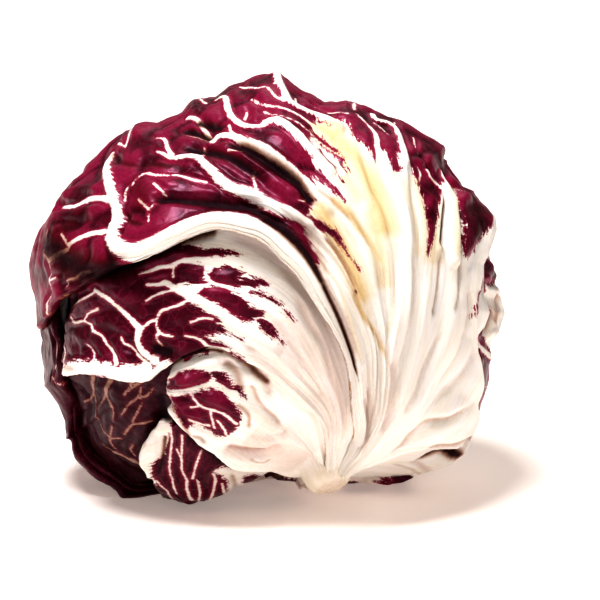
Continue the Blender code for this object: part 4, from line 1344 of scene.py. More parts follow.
LOWER_MARKS = LeafMarks(ground=Ground.WHITE, red=(
    (-22, -19.5, -19, -17.5, -15.5, -17.3, -17, -15, -24, -16),
    (-27.6, -27, -25.5, -23, -22, -21.5, -16, -22, -15, -24.5, -18, -25.6, -22, -26.6),
    (-15, -22, -11.5, -22, -9.5, -24, -9, -27, -13, -24.8),
    (-26, -28.5, -20, -28, -15, -26.8, -11, -28.5, -8, -31, -6, -33.5, -7, -36, -8.5, -38.5, -11.5, -40,
     -15, -38, -18.5, -36, -21.5, -36.5, -24, -33),
), streaks=(
    Streak((-8, -27, -5, -29.5), (1.2, 0.5)),
), veins=(
    Vein((-27.5, -23, -25, -22.6, -23, -20.5, -20, -19.5, -16, -19.3, -12, -18.3), (1.2, 2), 0.5),
    Vein((-27.5, -28, -22, -27.2, -19, -26.5, -16, -25.8, -13.5, -25.5, -11, -27, -8.5, -29, -6, -31,
         -4.5, -33), (0.9, 1.3, 2.2)),
    Vein((-27.5, -27, -27.7, -29, -26.5, -31.5, -24, -33.5), 1),
    Vein((-20, -28, -19, -29.5, -17.5, -31, -15, -32, -13, -32.3, -10.5, -33.3, -9, -34.5, -7.5, -36),
         (0.6, 1)),
    Vein((-20, -31.5, -17.5, -31), 0.6),
    Vein((-14.6, -32.2, -14.3, -34.5, -13.6, -37), 0.6),
    Vein((-20.5, -35, -17.5, -36, -15, -36.4), 0.6),
    Vein((-12.8, -35, -11, -37.5, -10.5, -39.5), 0.5),
), folds=(
    Fold((-28, -21.4, -22, -18, -16, -16.2, -10, -16.8), 1.4, 0.4, SHADE, 0.8),
    Fold((-12, -19, -8, -22, -7, -26, -6, -27.5), (3, 2.4), 1.2, TAN, 0.8),
    Fold((-12, -15, -6, -19, -2, -22.5, 2, -26), (3.4, 1.6), 0.8, SHADE, 0.7, 0.8),
    Fold((-6, -25, -4, -23.5, -2, -25, -1, -28, 1.5, -32), 2.4, -0.9),
    Fold((-4.5, -26, -3, -27, -2, -30, 0, -33, 2, -35, 5, -38), 1.6, 0.9, TAN, 0.75),
    Fold((0, -22.8, 0.5, -25, 2, -28.5), 1.4, 0.7, ROSE_SHADE, 0.8),
    Fold((-8, -30.5, -5.5, -32, -4.3, -33.5, -4.2, -35.5, -4.3, -38), 1.4, 0.4, TAN, 0.9),
    Fold((-26, -30.5, -23, -34, -21, -38, -20, -39.5), 1.6, 0.2, TAN, 0.9),
    Fold((-20, -39.2, -17.5, -39.5, -16, -41), 1.2, 0.2, TAN, 0.8),
    Fold((-4, -46, -1, -47, 2, -46.3), 1, 0.3, TAN, 0.7),
    Fold((-20, -40.5, -17, -41.6, -14, -45, -10, -47.6, -6, -48.8, 0, -49.2, 6, -48.6), 2.6, -1),
    Fold((-12, -43, -6, -44.5, 0, -44.6, 6, -42), 2.8, 1.5, ROSE_SHADE, 1),
    Fold((-11, -43, -5, -44.2, 1, -44), 3, 0, SHADE, 0.4),
    Fold((-6, -40, 3, -44, 12, -48), 9, 0, ROSE_SHADE, 0.7),
    Fold((-4, -40, 2, -40, 7, -38), 1.6, 0.7, ROSE_SHADE, 0.7),
    Fold((-24, -25, -20, -23.6), 3, -0.8),
    Fold((-20, -24.5, -16, -23, -12, -23), 1.4, 0.6, SHADE, 0.4),
))

BOTTOM_MARKS = LeafMarks(white=(
    (-33.5, -37.5, -34.5, -42, -37.5, -46.5, -37, -49, -30, -53.5, -31.5, -48, -28.5, -46, -27.5, -42,
     -26, -38, -29.5, -36),
    (-14.5, -50.5, -12.5, -49, -8, -49.6, 2, -48, 4, -52, -5, -52, -6, -54, -5, -57, -8, -60.5, -11, -58.5,
     -10.5, -54, -13, -52),
), veins=(
    Vein((-26.3, -38, -26, -42, -26.3, -47, -26.2, -51, -24.5, -56), (0.6, 0.8)),
    Vein((-23, -40, -22.8, -49, -22, -52, -21.5, -55, -20.3, -58), (0.6, 1.2)),
    Vein((-17.5, -44, -19, -48, -20.2, -52.5), 0.5),
    Vein((-14.5, -51, -14, -54, -15, -57.5, -16.5, -60), 1),
    Vein((-30, -52, -27.5, -55, -26, -58), 0.8),
    Vein((-19, -53, -18, -56, -18.6, -59), 0.6),
    Vein((-24.4, -44, -22.9, -46), 0.5),
    Vein((-12, -54, -11, -57), 0.6),
), folds=(
    Fold((-31, -39, -32.5, -44, -34, -48, -30, -52), 5, -1.2),
    Fold((-28.3, -40, -28.6, -46, -29.6, -51), 1.6, 0.9, SHADE, 0.7),
    Fold((-22, -38.5, -17, -42.5, -12, -47, -6, -50), 3.4, 1.2, SHADE, 0.9, 0.9),
    Fold((-9.5, -52, -8.5, -55, -8.6, -58.5), 1.6, 0.8, TAN, 0.8),
    Fold((-20.8, -46, -20.5, -50), 1.8, 0.8, SHADE, 0.5),
))

POCKET_MARKS = LeafMarks(veins=(
    Vein((-48, -22, -49, -25, -49.8, -27.5, -50.5, -30, -51.8, -32, -52, -34.5), (1.6, 0.8)),
    Vein((-51.5, -32, -54.5, -33), 0.5),
    Vein((-42.5, -23, -44, -26, -45, -29, -46.5, -31.5, -47.3, -33), (2, 0.5)),
    Vein((-49.8, -30.5, -48.8, -33, -48, -35, -47.7, -36.5), 0.8),
    Vein((-37, -25, -39, -28.5), (1.2, 0.3)),
    Vein((-34.5, -25, -38, -27.5), (1, 0.3)),
    Vein((-34.5, -27, -35.5, -29.5, -37.5, -31, -39, -33.5), (0.6, 0.4)),
    Vein((-31, -27, -33, -29, -35, -29.5), 0.5),
    Vein((-34, -31, -36, -35.5), 0.5),
    Vein((-31, -35.5, -34, -36, -36.5, -36.5, -38.8, -39.5), 0.8),
    Vein((-46.7, -38, -45.5, -39.5, -44, -41, -44.2, -43, -44.3, -46.5), 0.8),
    Vein((-42, -37, -43, -39.5, -44, -41), 0.5),
    Vein((-44, -41.5, -40.3, -41), 0.6),
    Vein((-48, -45, -47, -47, -45, -48, -43, -48.3, -40, -49.5, -37, -50, -33.5, -51.5), (1.2, 2), 0.4),
    Vein((-45, -29, -42, -32, -41.5, -35), 0.4),
    Vein((-37, -43, -38.5, -45.5, -38, -48), 0.5),
), folds=(
    Fold((-60, -12, -59.5, -20, -57, -26, -54, -30, -52.5, -33, -51.5, -38, -49, -43, -47, -47, -44, -51),
         3.4, 0.8, SHADE, 0.7, 0.8),
    Fold((-31, -27, -28, -33, -30, -40, -34, -46, -36, -50), 5, 1.6, SHADE, 0.85, 0.8),
    Fold((-52, -23, -44, -24.5, -36, -28, -30, -27), 3, 0.6, SHADE, 0.6),
))

LEFT_MARKS = LeafMarks(veins=(
    Vein((-54.6, -36.5, -53.6, -39, -52.4, -42), 0.6),
    Vein((-60.5, -24, -58, -27, -56, -31), 0.6),
    Vein((-62, -12, -60.5, -16, -60.5, -22), 0.7),
    Vein((-50, -49, -46, -52, -42, -55), 0.8),
    Vein((-36, -58, -28, -59.5, -18, -60), 1),
), folds=(
    Fold((-57, -30, -53, -38, -49, -45, -44, -51), 2.4, -0.5),
    Fold((-12, -56, -2, -54, 8, -53, 14, -54), 9, 0.2, TAN, 0.9),
))

ROLL_MARKS = LeafMarks(ground=Ground.WHITE, streaks=(
    Streak((56, -38, 57.6, -41, 56.4, -44), (0.6, 1, 0.6)),
), folds=(
    Fold((52, -42.6, 49.5, -44.2, 46.5, -45.8, 43, -46.8), (3.4, 3), 1.2, SHADE, 1, 0.9),
    Fold((53.5, -42, 55, -42.5, 55.3, -44, 55, -45), 0.8, 0.6, TAN),
    Fold((40, -47.5, 45, -48.8, 50, -47.4), 1.4, 0.3, ROSE_SHADE, 0.8),
    Fold((36, -45.4, 44, -43, 50, -40.8, 56, -37.6), 2.4, 0.8, TAN, 0.9),
    Fold((36, -49, 42, -50, 49, -49), 1.6, 0.2, TAN, 0.5),
))

RIGHT_MARKS = LeafMarks(ground=Ground.WHITE, red=(
    (64, 11, 63, 8, 61.5, 5.5, 60.5, 4, 61, -1, 63.8, 2.5, 65.5, 6),
    (60.5, -10, 62.5, -14, 62, -22, 60.5, -30, 57, -34, 56, -29, 58, -22, 59.2, -16),
), streaks=(
    Streak((60.8, 2.5, 59, -1.5, 58, -3.5, 57.5, -7), (1, 0.8)),
    Streak((61, 0, 60, -4, 58.6, -11), 0.7),
), veins=(
    Vein((61.5, 1.5, 64.8, -1, 65.8, -5, 65.2, -9, 62.6, -12), (2, 2.6, 1.6), 0.5),
    Vein((59.8, -13.8, 61.4, -16, 62.6, -18.4), 1.8),
    Vein((61.6, -24, 60.6, -27, 59, -30), 1.2),
), folds=(
    Fold((62.8, -4.4, 62.4, -8, 61.6, -12.4), 5, 2.2, SHADE),
    Fold((64.2, 0, 63.8, -4, 63.2, -9), 6, 0.8, TAN),
    Fold((60.6, -14, 59.6, -20, 58, -26), 1.6, 0.8, TAN, 0.8),
))

UNDER_MARKS = LeafMarks(folds=(
    Fold((33, -51, 38, -53, 43, -51), 3, 0.2, TAN, 0.9),
    Fold((-7, -55, 3, -56, 12, -57), 9, 0.2, TAN, 0.9),
))


def wrapper_leaves() -> tuple[LeafSheet, ...]:
    """List the ten outer leaves with their marks.

    Returns:
        The leaves from the near side to the far side.
    """
    return (
        LeafSheet("leaf_front_wrapper", FRONT_RAILS, (44, 60, 68, 92, 92, 56), 216, FRONT_MARKS,
                  RibFan(7, 5, 2.0, 0.7, 0.0), seed=3),
        LeafSheet("leaf_middle_wrapper", MIDDLE_RAILS, (52, 48, 48), 200, MIDDLE_MARKS, ragged=0.4, seed=17,
                  blade_painted_shade=0.45),
        LeafSheet("leaf_lower_wrapper", LOWER_RAILS, (44, 44, 44), 128, LOWER_MARKS, seed=29, pucker=0.4,
                  blade_painted_shade=0.4),
        LeafSheet("leaf_bottom_wrapper", BOTTOM_RAILS, (40, 40, 40), 128, BOTTOM_MARKS, ragged=0.8, seed=37,
                  pucker=0.4, overall_painted_shade=0.2, blade_painted_shade=0.9),
        LeafSheet("leaf_pocket_wrapper", POCKET_RAILS, (48, 48, 48, 32), 140, POCKET_MARKS, ragged=0.6,
                  seed=43, overall_painted_shade=0.62, blade_painted_shade=1.0),
        LeafSheet("leaf_left_wrapper", LEFT_RAILS, (60, 80, 88), 200, LEFT_MARKS,
                  RibFan(5, 8, 5.0, 0.8, 22.0), ragged=0.6, seed=51, overall_painted_shade=0.4, blade_painted_shade=0.95),
        LeafSheet("leaf_under_wrapper", UNDER_RAILS, (40, 40, 40), 80, UNDER_MARKS,
                  RibFan(5, 12, 4.0, 1.0, 20.0, False), seed=59, pucker=0.2, white_start=5.0, overall_painted_shade=0.3,
                  blade_painted_shade=0.9),
        LeafSheet("leaf_right_roll", ROLL_RAILS, (40, 40, 32), 84, ROLL_MARKS, seed=67, pucker=0.3),
        LeafSheet("leaf_right_wrapper", RIGHT_RAILS, (80, 64, 60), 180, RIGHT_MARKS,
                  RibFan(6, 21, 5.0, 0.8, 24.0), seed=71),
        LeafSheet("leaf_back_wrapper", BACK_RAILS, (52, 52, 52, 52), 180, LeafMarks(),
                  RibFan(6, 33, 5.5, 0.8, 22.0), ragged=0.6, seed=83),
    )


# ---- finishes ----


@dataclass(frozen=True)
class RibColours:
    """Colours of the white ribs, as linear red, green and blue; the pinkish grey is painted shade for their
    grooves, and the ochre brown is partly painted shade.
    """

    cream: Triple = (0.89, 0.85, 0.75)
    pale: Triple = (0.90, 0.88, 0.85)
    yellow: Triple = (0.68, 0.45, 0.12)
    # ochre brown: partly painted shade in crevices, partly the real brown of dried edges and the cut end
    tan: Triple = (0.34, 0.14, 0.045)
    # painted shade colour, pinkish grey, for the grooves of the ribs
    rose: Triple = (0.48, 0.29, 0.23)
    blush: Triple = (0.66, 0.27, 0.27)
    thread: Triple = (0.70, 0.60, 0.46)


@dataclass(frozen=True)
class BladeColours:
    """Colours of the red blade from its border with a rib to its middle, with the colours of painted shade:
    the darkest red also fills blister hollows, and a brown and a near black darken crevices and hollows.
    """

    border: Triple = (0.34, 0.018, 0.065)
    middle: Triple = (0.215, 0.010, 0.045)
    # the blade's own darkest red, also painted shade in the hollows between blisters
    deep_and_shade: Triple = (0.055, 0.002, 0.009)
    veinlet: Triple = (0.26, 0.030, 0.075)
    shade: Triple = (0.006, 0.0012, 0.0012)
    dusk: Triple = (0.42, 0.24, 0.17)


PALE_BLADE = BladeColours((0.55, 0.08, 0.16), (0.34, 0.03, 0.07), (0.20, 0.012, 0.03), (0.55, 0.12, 0.2))


class Wiring:
    """Adds and joins the nodes of one tree."""

    def __init__(self, tree: bpy.types.NodeTree) -> None:
        """Keep the tree that the nodes are added to."""
        self.tree = tree

    def add(self, kind: str, inputs: dict | None = None, **settings: object) -> bpy.types.Node:
        """Add one node.

        Args:
            kind: The node's type name.
            inputs: Values or sockets for its inputs, by name or number.
            **settings: Properties of the node.

        Returns:
            The new node.
        """
        node = self.tree.nodes.new(kind)
        for key, value in settings.items():
            setattr(node, key, value)
        for key, value in (inputs or {}).items():
            self.feed(node.inputs[key], value)
        return node

    def feed(self, target: Socket, value: object) -> None:
        """Join an input to a socket or give it a value.

        Args:
            target: The input.
            value: An output socket, or a value; a colour may leave out its alpha.
        """
        if isinstance(value, Socket):
            self.tree.links.new(value, target)
        elif target.type == "RGBA":
            target.default_value = (*value, 1.0)
        else:
            target.default_value = value

    def math(self, operation: str, *values: object, clamp: bool = False) -> Socket:
        """Add a Math node and return its result."""
        node = self.add("ShaderNodeMath", dict(enumerate(values)), operation=operation, use_clamp=clamp)
        return node.outputs[0]

    def times(self, first: object, second: object) -> Socket:
        """Multiply two values."""
        return self.math("MULTIPLY", first, second)

    def plus(self, first: object, second: object) -> Socket:
        """Add two values."""
        return self.math("ADD", first, second)

    def minus(self, first: object, second: object) -> Socket:
        """Take the second value from the first."""
        return self.math("SUBTRACT", first, second)

    def vector(self, operation: str, first: object, second: object) -> Socket:
        """Add a Vector Math node, whose second value is a number for SCALE, and return its result."""
        key = "Scale" if operation == "SCALE" else 1
        return self.add("ShaderNodeVectorMath", {0: first, key: second}, operation=operation).outputs[0]

    def remap(self, value: object, low: float, high: float, to_low: float = 0.0, to_high: float = 1.0,
              smooth: bool = True) -> Socket:
        """Carry a value from one range to another.

        Args:
            value: The value.
            low: Start of its range.
            high: End of its range.
            to_low: Result at the start.
            to_high: Result at the end.
            smooth: Whether it eases in and out.

        Returns:
            The result.
        """
        return self.add("ShaderNodeMapRange", {0: value, 1: low, 2: high, 3: to_low, 4: to_high},
                        interpolation_type="SMOOTHSTEP" if smooth else "LINEAR").outputs[0]

    def blend(self, share: object, first: object, second: object, mode: str = "MIX") -> Socket:
        """Mix two colours and return the result."""
        return self.add("ShaderNodeMix", {0: share, 6: first, 7: second}, data_type="RGBA", blend_type=mode,
                        clamp_factor=True).outputs[2]

    def noise(self, vector: object, scale: float, detail: float = 2.0, roughness: float = 0.5) -> Socket:
        """Add a noise pattern and return its value."""
        return self.add("ShaderNodeTexNoise", {"Vector": vector, "Scale": scale, "Detail": detail,
                                               "Roughness": roughness}).outputs["Fac"]

    def swing(self, vector: object, scale: float, detail: float = 2.0, roughness: float = 0.5) -> Socket:
        """Add a noise pattern that swings about 0."""
        return self.minus(self.noise(vector, scale, detail, roughness), 0.5)

    def read(self, name: str) -> Socket:
        """Read one of the piece's own fields."""
        return self.add("ShaderNodeAttribute", attribute_name=name).outputs["Fac"]


class Effect:
    """A shader node group that several finishes share."""

    def __init__(self, name: str, vectors: tuple[str, ...], values: dict[str, float],
                 outputs: tuple[str, ...]) -> None:
        """Start the group.

        Args:
            name: Name of the group.
            vectors: Names of its vector inputs.
            values: Names and defaults of its number inputs.
            outputs: Names of its outputs, each a number.
        """
        self.tree = bpy.data.node_groups.new(name, "ShaderNodeTree")
        for key in vectors:
            self.tree.interface.new_socket(key, in_out="INPUT", socket_type="NodeSocketVector")
        for key, default in values.items():
            socket = self.tree.interface.new_socket(key, in_out="INPUT", socket_type="NodeSocketFloat")
            socket.default_value = default
        for key in outputs:
            self.tree.interface.new_socket(key, in_out="OUTPUT", socket_type="NodeSocketFloat")
        self.net = Wiring(self.tree)
        self.given = self.net.add("NodeGroupInput").outputs

    def end(self, **results: Socket) -> bpy.types.NodeTree:
        """Join the results to the group's outputs and return the group."""
        self.net.add("NodeGroupOutput", results)
        return self.tree


def marbling_group() -> bpy.types.NodeTree:
    """Build the group that frays the border between rib and blade.

    Returns:
        A group that turns a smooth distance into white into a frayed one and a rib mask.
    """
    effect = Effect("rib_marbling", ("Place", "Grain"),
                    {"Into White": 0.0, "Fray": 1.0, "Fleck": 0.5, "Neat": 0.0}, ("Frayed", "Rib"))
    net, given = effect.net, effect.given
    streak_reach, patch_reach, calming = 4.2, 2.2, -0.78  # millimetres, millimetres, share
    streaky = net.swing(net.vector("MULTIPLY", given["Grain"], (2.0, 0.26, 1.0)), 1.0, 3.0, 0.6)
    patchy = net.swing(given["Place"], 0.55, 4.0, 0.65)
    fine = net.swing(given["Place"], 2.3, 3.0, 0.7)
    wander = net.plus(net.times(streaky, streak_reach), net.times(patchy, patch_reach))
    wander = net.plus(wander, net.times(fine, given["Fleck"]))
    tight = net.math("MULTIPLY_ADD", given["Neat"], calming, 1.0)
    frayed = net.plus(given["Into White"], net.times(net.times(wander, given["Fray"]), tight))
    return effect.end(Frayed=frayed, Rib=net.remap(frayed, -0.10, 0.22))


def pucker_group() -> bpy.types.NodeTree:
    """Build the group for the fine blisters and veinlets of the blade.

    Returns:
        A group with a height in millimetres and a mask of the thin veinlets.
    """
    effect = Effect("blade_pucker", ("Place",), {"Cell": 3.2, "Height": 0.3}, ("Height", "Veinlet"))
    net, given = effect.net, effect.given
    place = given["Place"]
    bend = net.add("ShaderNodeTexNoise", {"Vector": place, "Scale": 0.35, "Detail": 2.0}).outputs["Color"]
    bent = net.vector("ADD", place, net.vector("MULTIPLY", bend, (3.2, 3.2, 3.2)))
    cells = net.add("ShaderNodeTexVoronoi", {"Vector": bent, "Scale": net.math("DIVIDE", 1.0, given["Cell"])},
                    feature="DISTANCE_TO_EDGE")
    edge = cells.outputs["Distance"]
    rough = net.times(net.noise(place, 0.9, 4.0, 0.6), 0.6)
    height = net.plus(net.times(net.remap(edge, 0.0, 0.38), 0.7), rough)
    return effect.end(Height=net.times(height, given["Height"]), Veinlet=net.remap(edge, 0.055, 0.0))


def margin_group() -> bpy.types.NodeTree:
    """Build the group for the dried, browned edge of a leaf.

    Returns:
        A group that turns the distance from the free margin into a dry mask.
    """
    effect = Effect("dried_margin", ("Place",), {"Edge": 5.0, "Reach": 1.0}, ("Dry",))
    net, given = effect.net, effect.given
    reach = net.times(net.remap(net.noise(given["Place"], 0.22, 3.0, 0.6), 0.42, 0.68), given["Reach"])
    gap = net.plus(net.minus(reach, given["Edge"]), net.times(net.swing(given["Place"], 1.6), 1.2))
    return effect.end(Dry=net.remap(gap, -0.3, 0.5))


@dataclass(frozen=True)
class LeafFinish:
    """The finish of a leaf: red blade, cream ribs, tinted folds, painted shade in folds and hollows, painted
    light on blister tops, and a dried margin.
    """

    name: str
    ribs: RibColours = RibColours()
    blade: BladeColours = BladeColours()
    fray: float = 1.0
    fleck: float = 2.2
    cell: float = 4.6
    blister: float = 0.22
    dry_reach: float = 0.5
    dryness: float = 0.8
    blade_roughness: float = 0.33
    rib_roughness: float = 0.42
    veinlet_share: float = 0.30
    thread_share: float = 0.30
    fibre: float = 0.32
    bump: float = 0.5
    gloss: float = 0.26
    gloss_tint: Triple = (1.0, 0.50, 0.74)

    def build(self, marbling: bpy.types.NodeTree, pucker: bpy.types.NodeTree,
              margin: bpy.types.NodeTree) -> bpy.types.Material:
        """Build the material.

        Args:
            marbling: The group that frays the border of the ribs.
            pucker: The group for blisters and veinlets.
            margin: The group for the dried edge.

        Returns:
            The finished material.
        """
        material = bpy.data.materials.new(self.name)
        material.use_nodes = True
        net = Wiring(material.node_tree)
        inputs = material.node_tree.nodes["Principled BSDF"].inputs
        place = net.vector("SCALE", net.add("ShaderNodeTexCoord").outputs["Object"], 1.0 / MM)
        grain = net.add("ShaderNodeCombineXYZ", {0: net.read("grain_across"),
                                                 1: net.read("grain_along")}).outputs[0]
        edge = net.add("ShaderNodeGroup", {"Into White": net.read("rib"), "Place": place, "Grain": grain,
                                           "Fray": self.fray, "Fleck": self.fleck,
                                           "Neat": net.read("neat")}, node_tree=marbling).outputs
        rib, frayed = edge["Rib"], edge["Frayed"]
        relief = net.add("ShaderNodeGroup", {"Place": place, "Cell": self.cell, "Height": self.blister},
                         node_tree=pucker).outputs
        dried = net.add("ShaderNodeGroup", {"Edge": net.read("edge"), "Place": place,
                                            "Reach": self.dry_reach}, node_tree=margin).outputs["Dry"]
        colour = net.blend(rib, self.blade_colour(net, frayed, place, relief["Veinlet"]),
                           self.rib_colour(net, frayed, place, grain))
        dry = net.times(dried, self.dryness)
        colour = net.blend(dry, colour, net.blend(0.25, self.ribs.tan, self.ribs.yellow))
        # painted shade: the shade field, roughened by noise, first multiplies the colour by a warm brown,
        # then takes it towards near black
        shade = net.plus(net.read("shade"), net.times(net.swing(place, 0.8, 3.0), 0.25))
        black_shade = net.remap(shade, 0.45, 1.05)
        colour = net.blend(net.remap(shade, 0.05, 0.75), colour, self.blade.dusk, "MULTIPLY")
        net.feed(inputs["Base Color"], net.blend(net.times(black_shade, 0.96), colour, self.blade.shade))
        patches = net.remap(net.noise(place, 0.4, 3.0), 0.3, 0.7, -0.05, 0.08, False)
        rough = net.plus(net.remap(rib, 0.0, 1.0, self.blade_roughness, self.rib_roughness, False), patches)
        # rougher on dried edges and where the painted near-black shade lies
        dry_and_shade_rough = net.times(net.math("MAXIMUM", dry, black_shade), 0.4)
        net.feed(inputs["Roughness"], net.math("ADD", rough, dry_and_shade_rough, clamp=True))
        net.feed(inputs["Normal"], self.surface_normal(net, place, grain, rib, relief["Height"]))
        inputs["Specular IOR Level"].default_value = self.gloss
        inputs["Specular Tint"].default_value = (*self.gloss_tint, 1.0)
        return material

    def blade_colour(self, net: Wiring, frayed: Socket, place: Socket, veinlet: Socket) -> Socket:
        """Mix the red of the blade by its depth from the nearest rib, with painted light on blister tops and
        painted shade in the hollows.

        Args:
            net: The material's nodes.
            frayed: Frayed distance into white.
            place: Place in millimetres.
            veinlet: Mask of the thin veinlets.

        Returns:
            The colour.
        """
        # painted light and shade: blister tops take the middle red, the hollows between them the darkest red
        body = net.blend(net.remap(net.read("crest"), 0.1, 0.9), self.blade.deep_and_shade, self.blade.middle)
        near = net.blend(0.4, self.blade.border, body)
        colour = net.blend(net.remap(net.times(frayed, -1.0), 0.0, 0.9), near, body)
        fine = net.remap(net.noise(place, 1.4, 3.0, 0.6), 0.35, 0.75)
        colour = net.blend(net.times(fine, 0.35), colour, self.blade.deep_and_shade)
        return net.blend(net.times(veinlet, self.veinlet_share), colour, self.blade.veinlet)

    def rib_colour(self, net: Wiring, frayed: Socket, place: Socket, grain: Socket) -> Socket:
        """Mix the cream of the ribs with its streaks and the tints of the folds, of which the pinkish grey
        and part of the ochre brown are painted shade.

        Args:
            net: The material's nodes.
            frayed: Frayed distance into white.
            place: Place in millimetres.
            grain: The leaf's own coordinates in millimetres.

        Returns:
            The colour.
        """
        streaks = net.noise(net.vector("MULTIPLY", grain, (0.5, 0.05, 1.0)), 1.0, 4.0, 0.6)
        white = net.blend(net.remap(streaks, 0.35, 0.7), self.ribs.pale, self.ribs.cream)
        threads = net.noise(net.vector("MULTIPLY", grain, (1.5, 0.07, 1.0)), 1.0, 3.0, 0.6)
        white = net.blend(net.remap(threads, 0.5, 0.75, 0.0, self.thread_share), white, self.ribs.thread)
        clouds = net.remap(net.noise(place, 0.06, 3.0), 0.4, 0.75, 0.0, 0.35)
        white = net.blend(clouds, white, self.ribs.cream)
        white = net.blend(net.times(net.remap(frayed, 0.6, 0.0), 0.3), white, self.ribs.blush)
        # two of these fold fields lay painted shade on the ribs: the pinkish grey fully, the ochre brown in
        # part; yellow is their own colour
        for name, tint in (("yellow", self.ribs.yellow), ("rose", self.ribs.rose), ("tan", self.ribs.tan)):
            wobble = net.times(net.swing(place, 0.9, 3.0), 0.3)
            share = net.remap(net.plus(net.read(name), wobble), 0.08, 1.1, 0.0, 0.85, False)
            white = net.blend(share, white, tint)
        return white

    def surface_normal(self, net: Wiring, place: Socket, grain: Socket, rib: Socket,
                       blister: Socket) -> Socket:
        """Bump the blade with blisters and the ribs with fine lengthwise fibres.

        Args:
            net: The material's nodes.
            place: Place in millimetres.
            grain: The leaf's own coordinates in millimetres.
            rib: Mask of the ribs.
            blister: Height of the blade's blisters.

        Returns:
            The normal.
        """
        fibres = net.noise(net.vector("MULTIPLY", grain, (2.4, 0.16, 1.0)), 1.0, 3.0, 0.55)
        smooth = net.plus(net.times(fibres, self.fibre), net.times(net.noise(place, 3.5, 2.0), 0.04))
        height = net.add("ShaderNodeMix", {0: rib, 2: blister, 3: smooth}, data_type="FLOAT").outputs[0]
        bump = net.add("ShaderNodeBump", {"Strength": self.bump, "Distance": MM, "Height": height})
        return bump.outputs["Normal"]


# ---- heart leaves, by one rule ----


@dataclass(frozen=True)
class HeartLeaf:
    """The sizes of one cupped heart leaf: depth, turn about the core, half width and reach."""

    inset: float
    turn: float
    half_width: float
    reach: float


HEART_LEAVES = (
    HeartLeaf(15.4, 100.0, 112.0, 150.0),
    HeartLeaf(18.6, 238.0, 112.0, 152.0),
    HeartLeaf(21.8, 15.0, 110.0, 150.0),
    HeartLeaf(25.0, 152.0, 108.0, 150.0),
    HeartLeaf(28.4, 290.0, 106.0, 148.0),
    HeartLeaf(32.0, 67.0, 104.0, 146.0),
    HeartLeaf(36.0, 205.0, 102.0, 142.0),
    HeartLeaf(40.4, 342.0, 100.0, 136.0),
    HeartLeaf(45.0, 120.0, 98.0, 128.0),
)


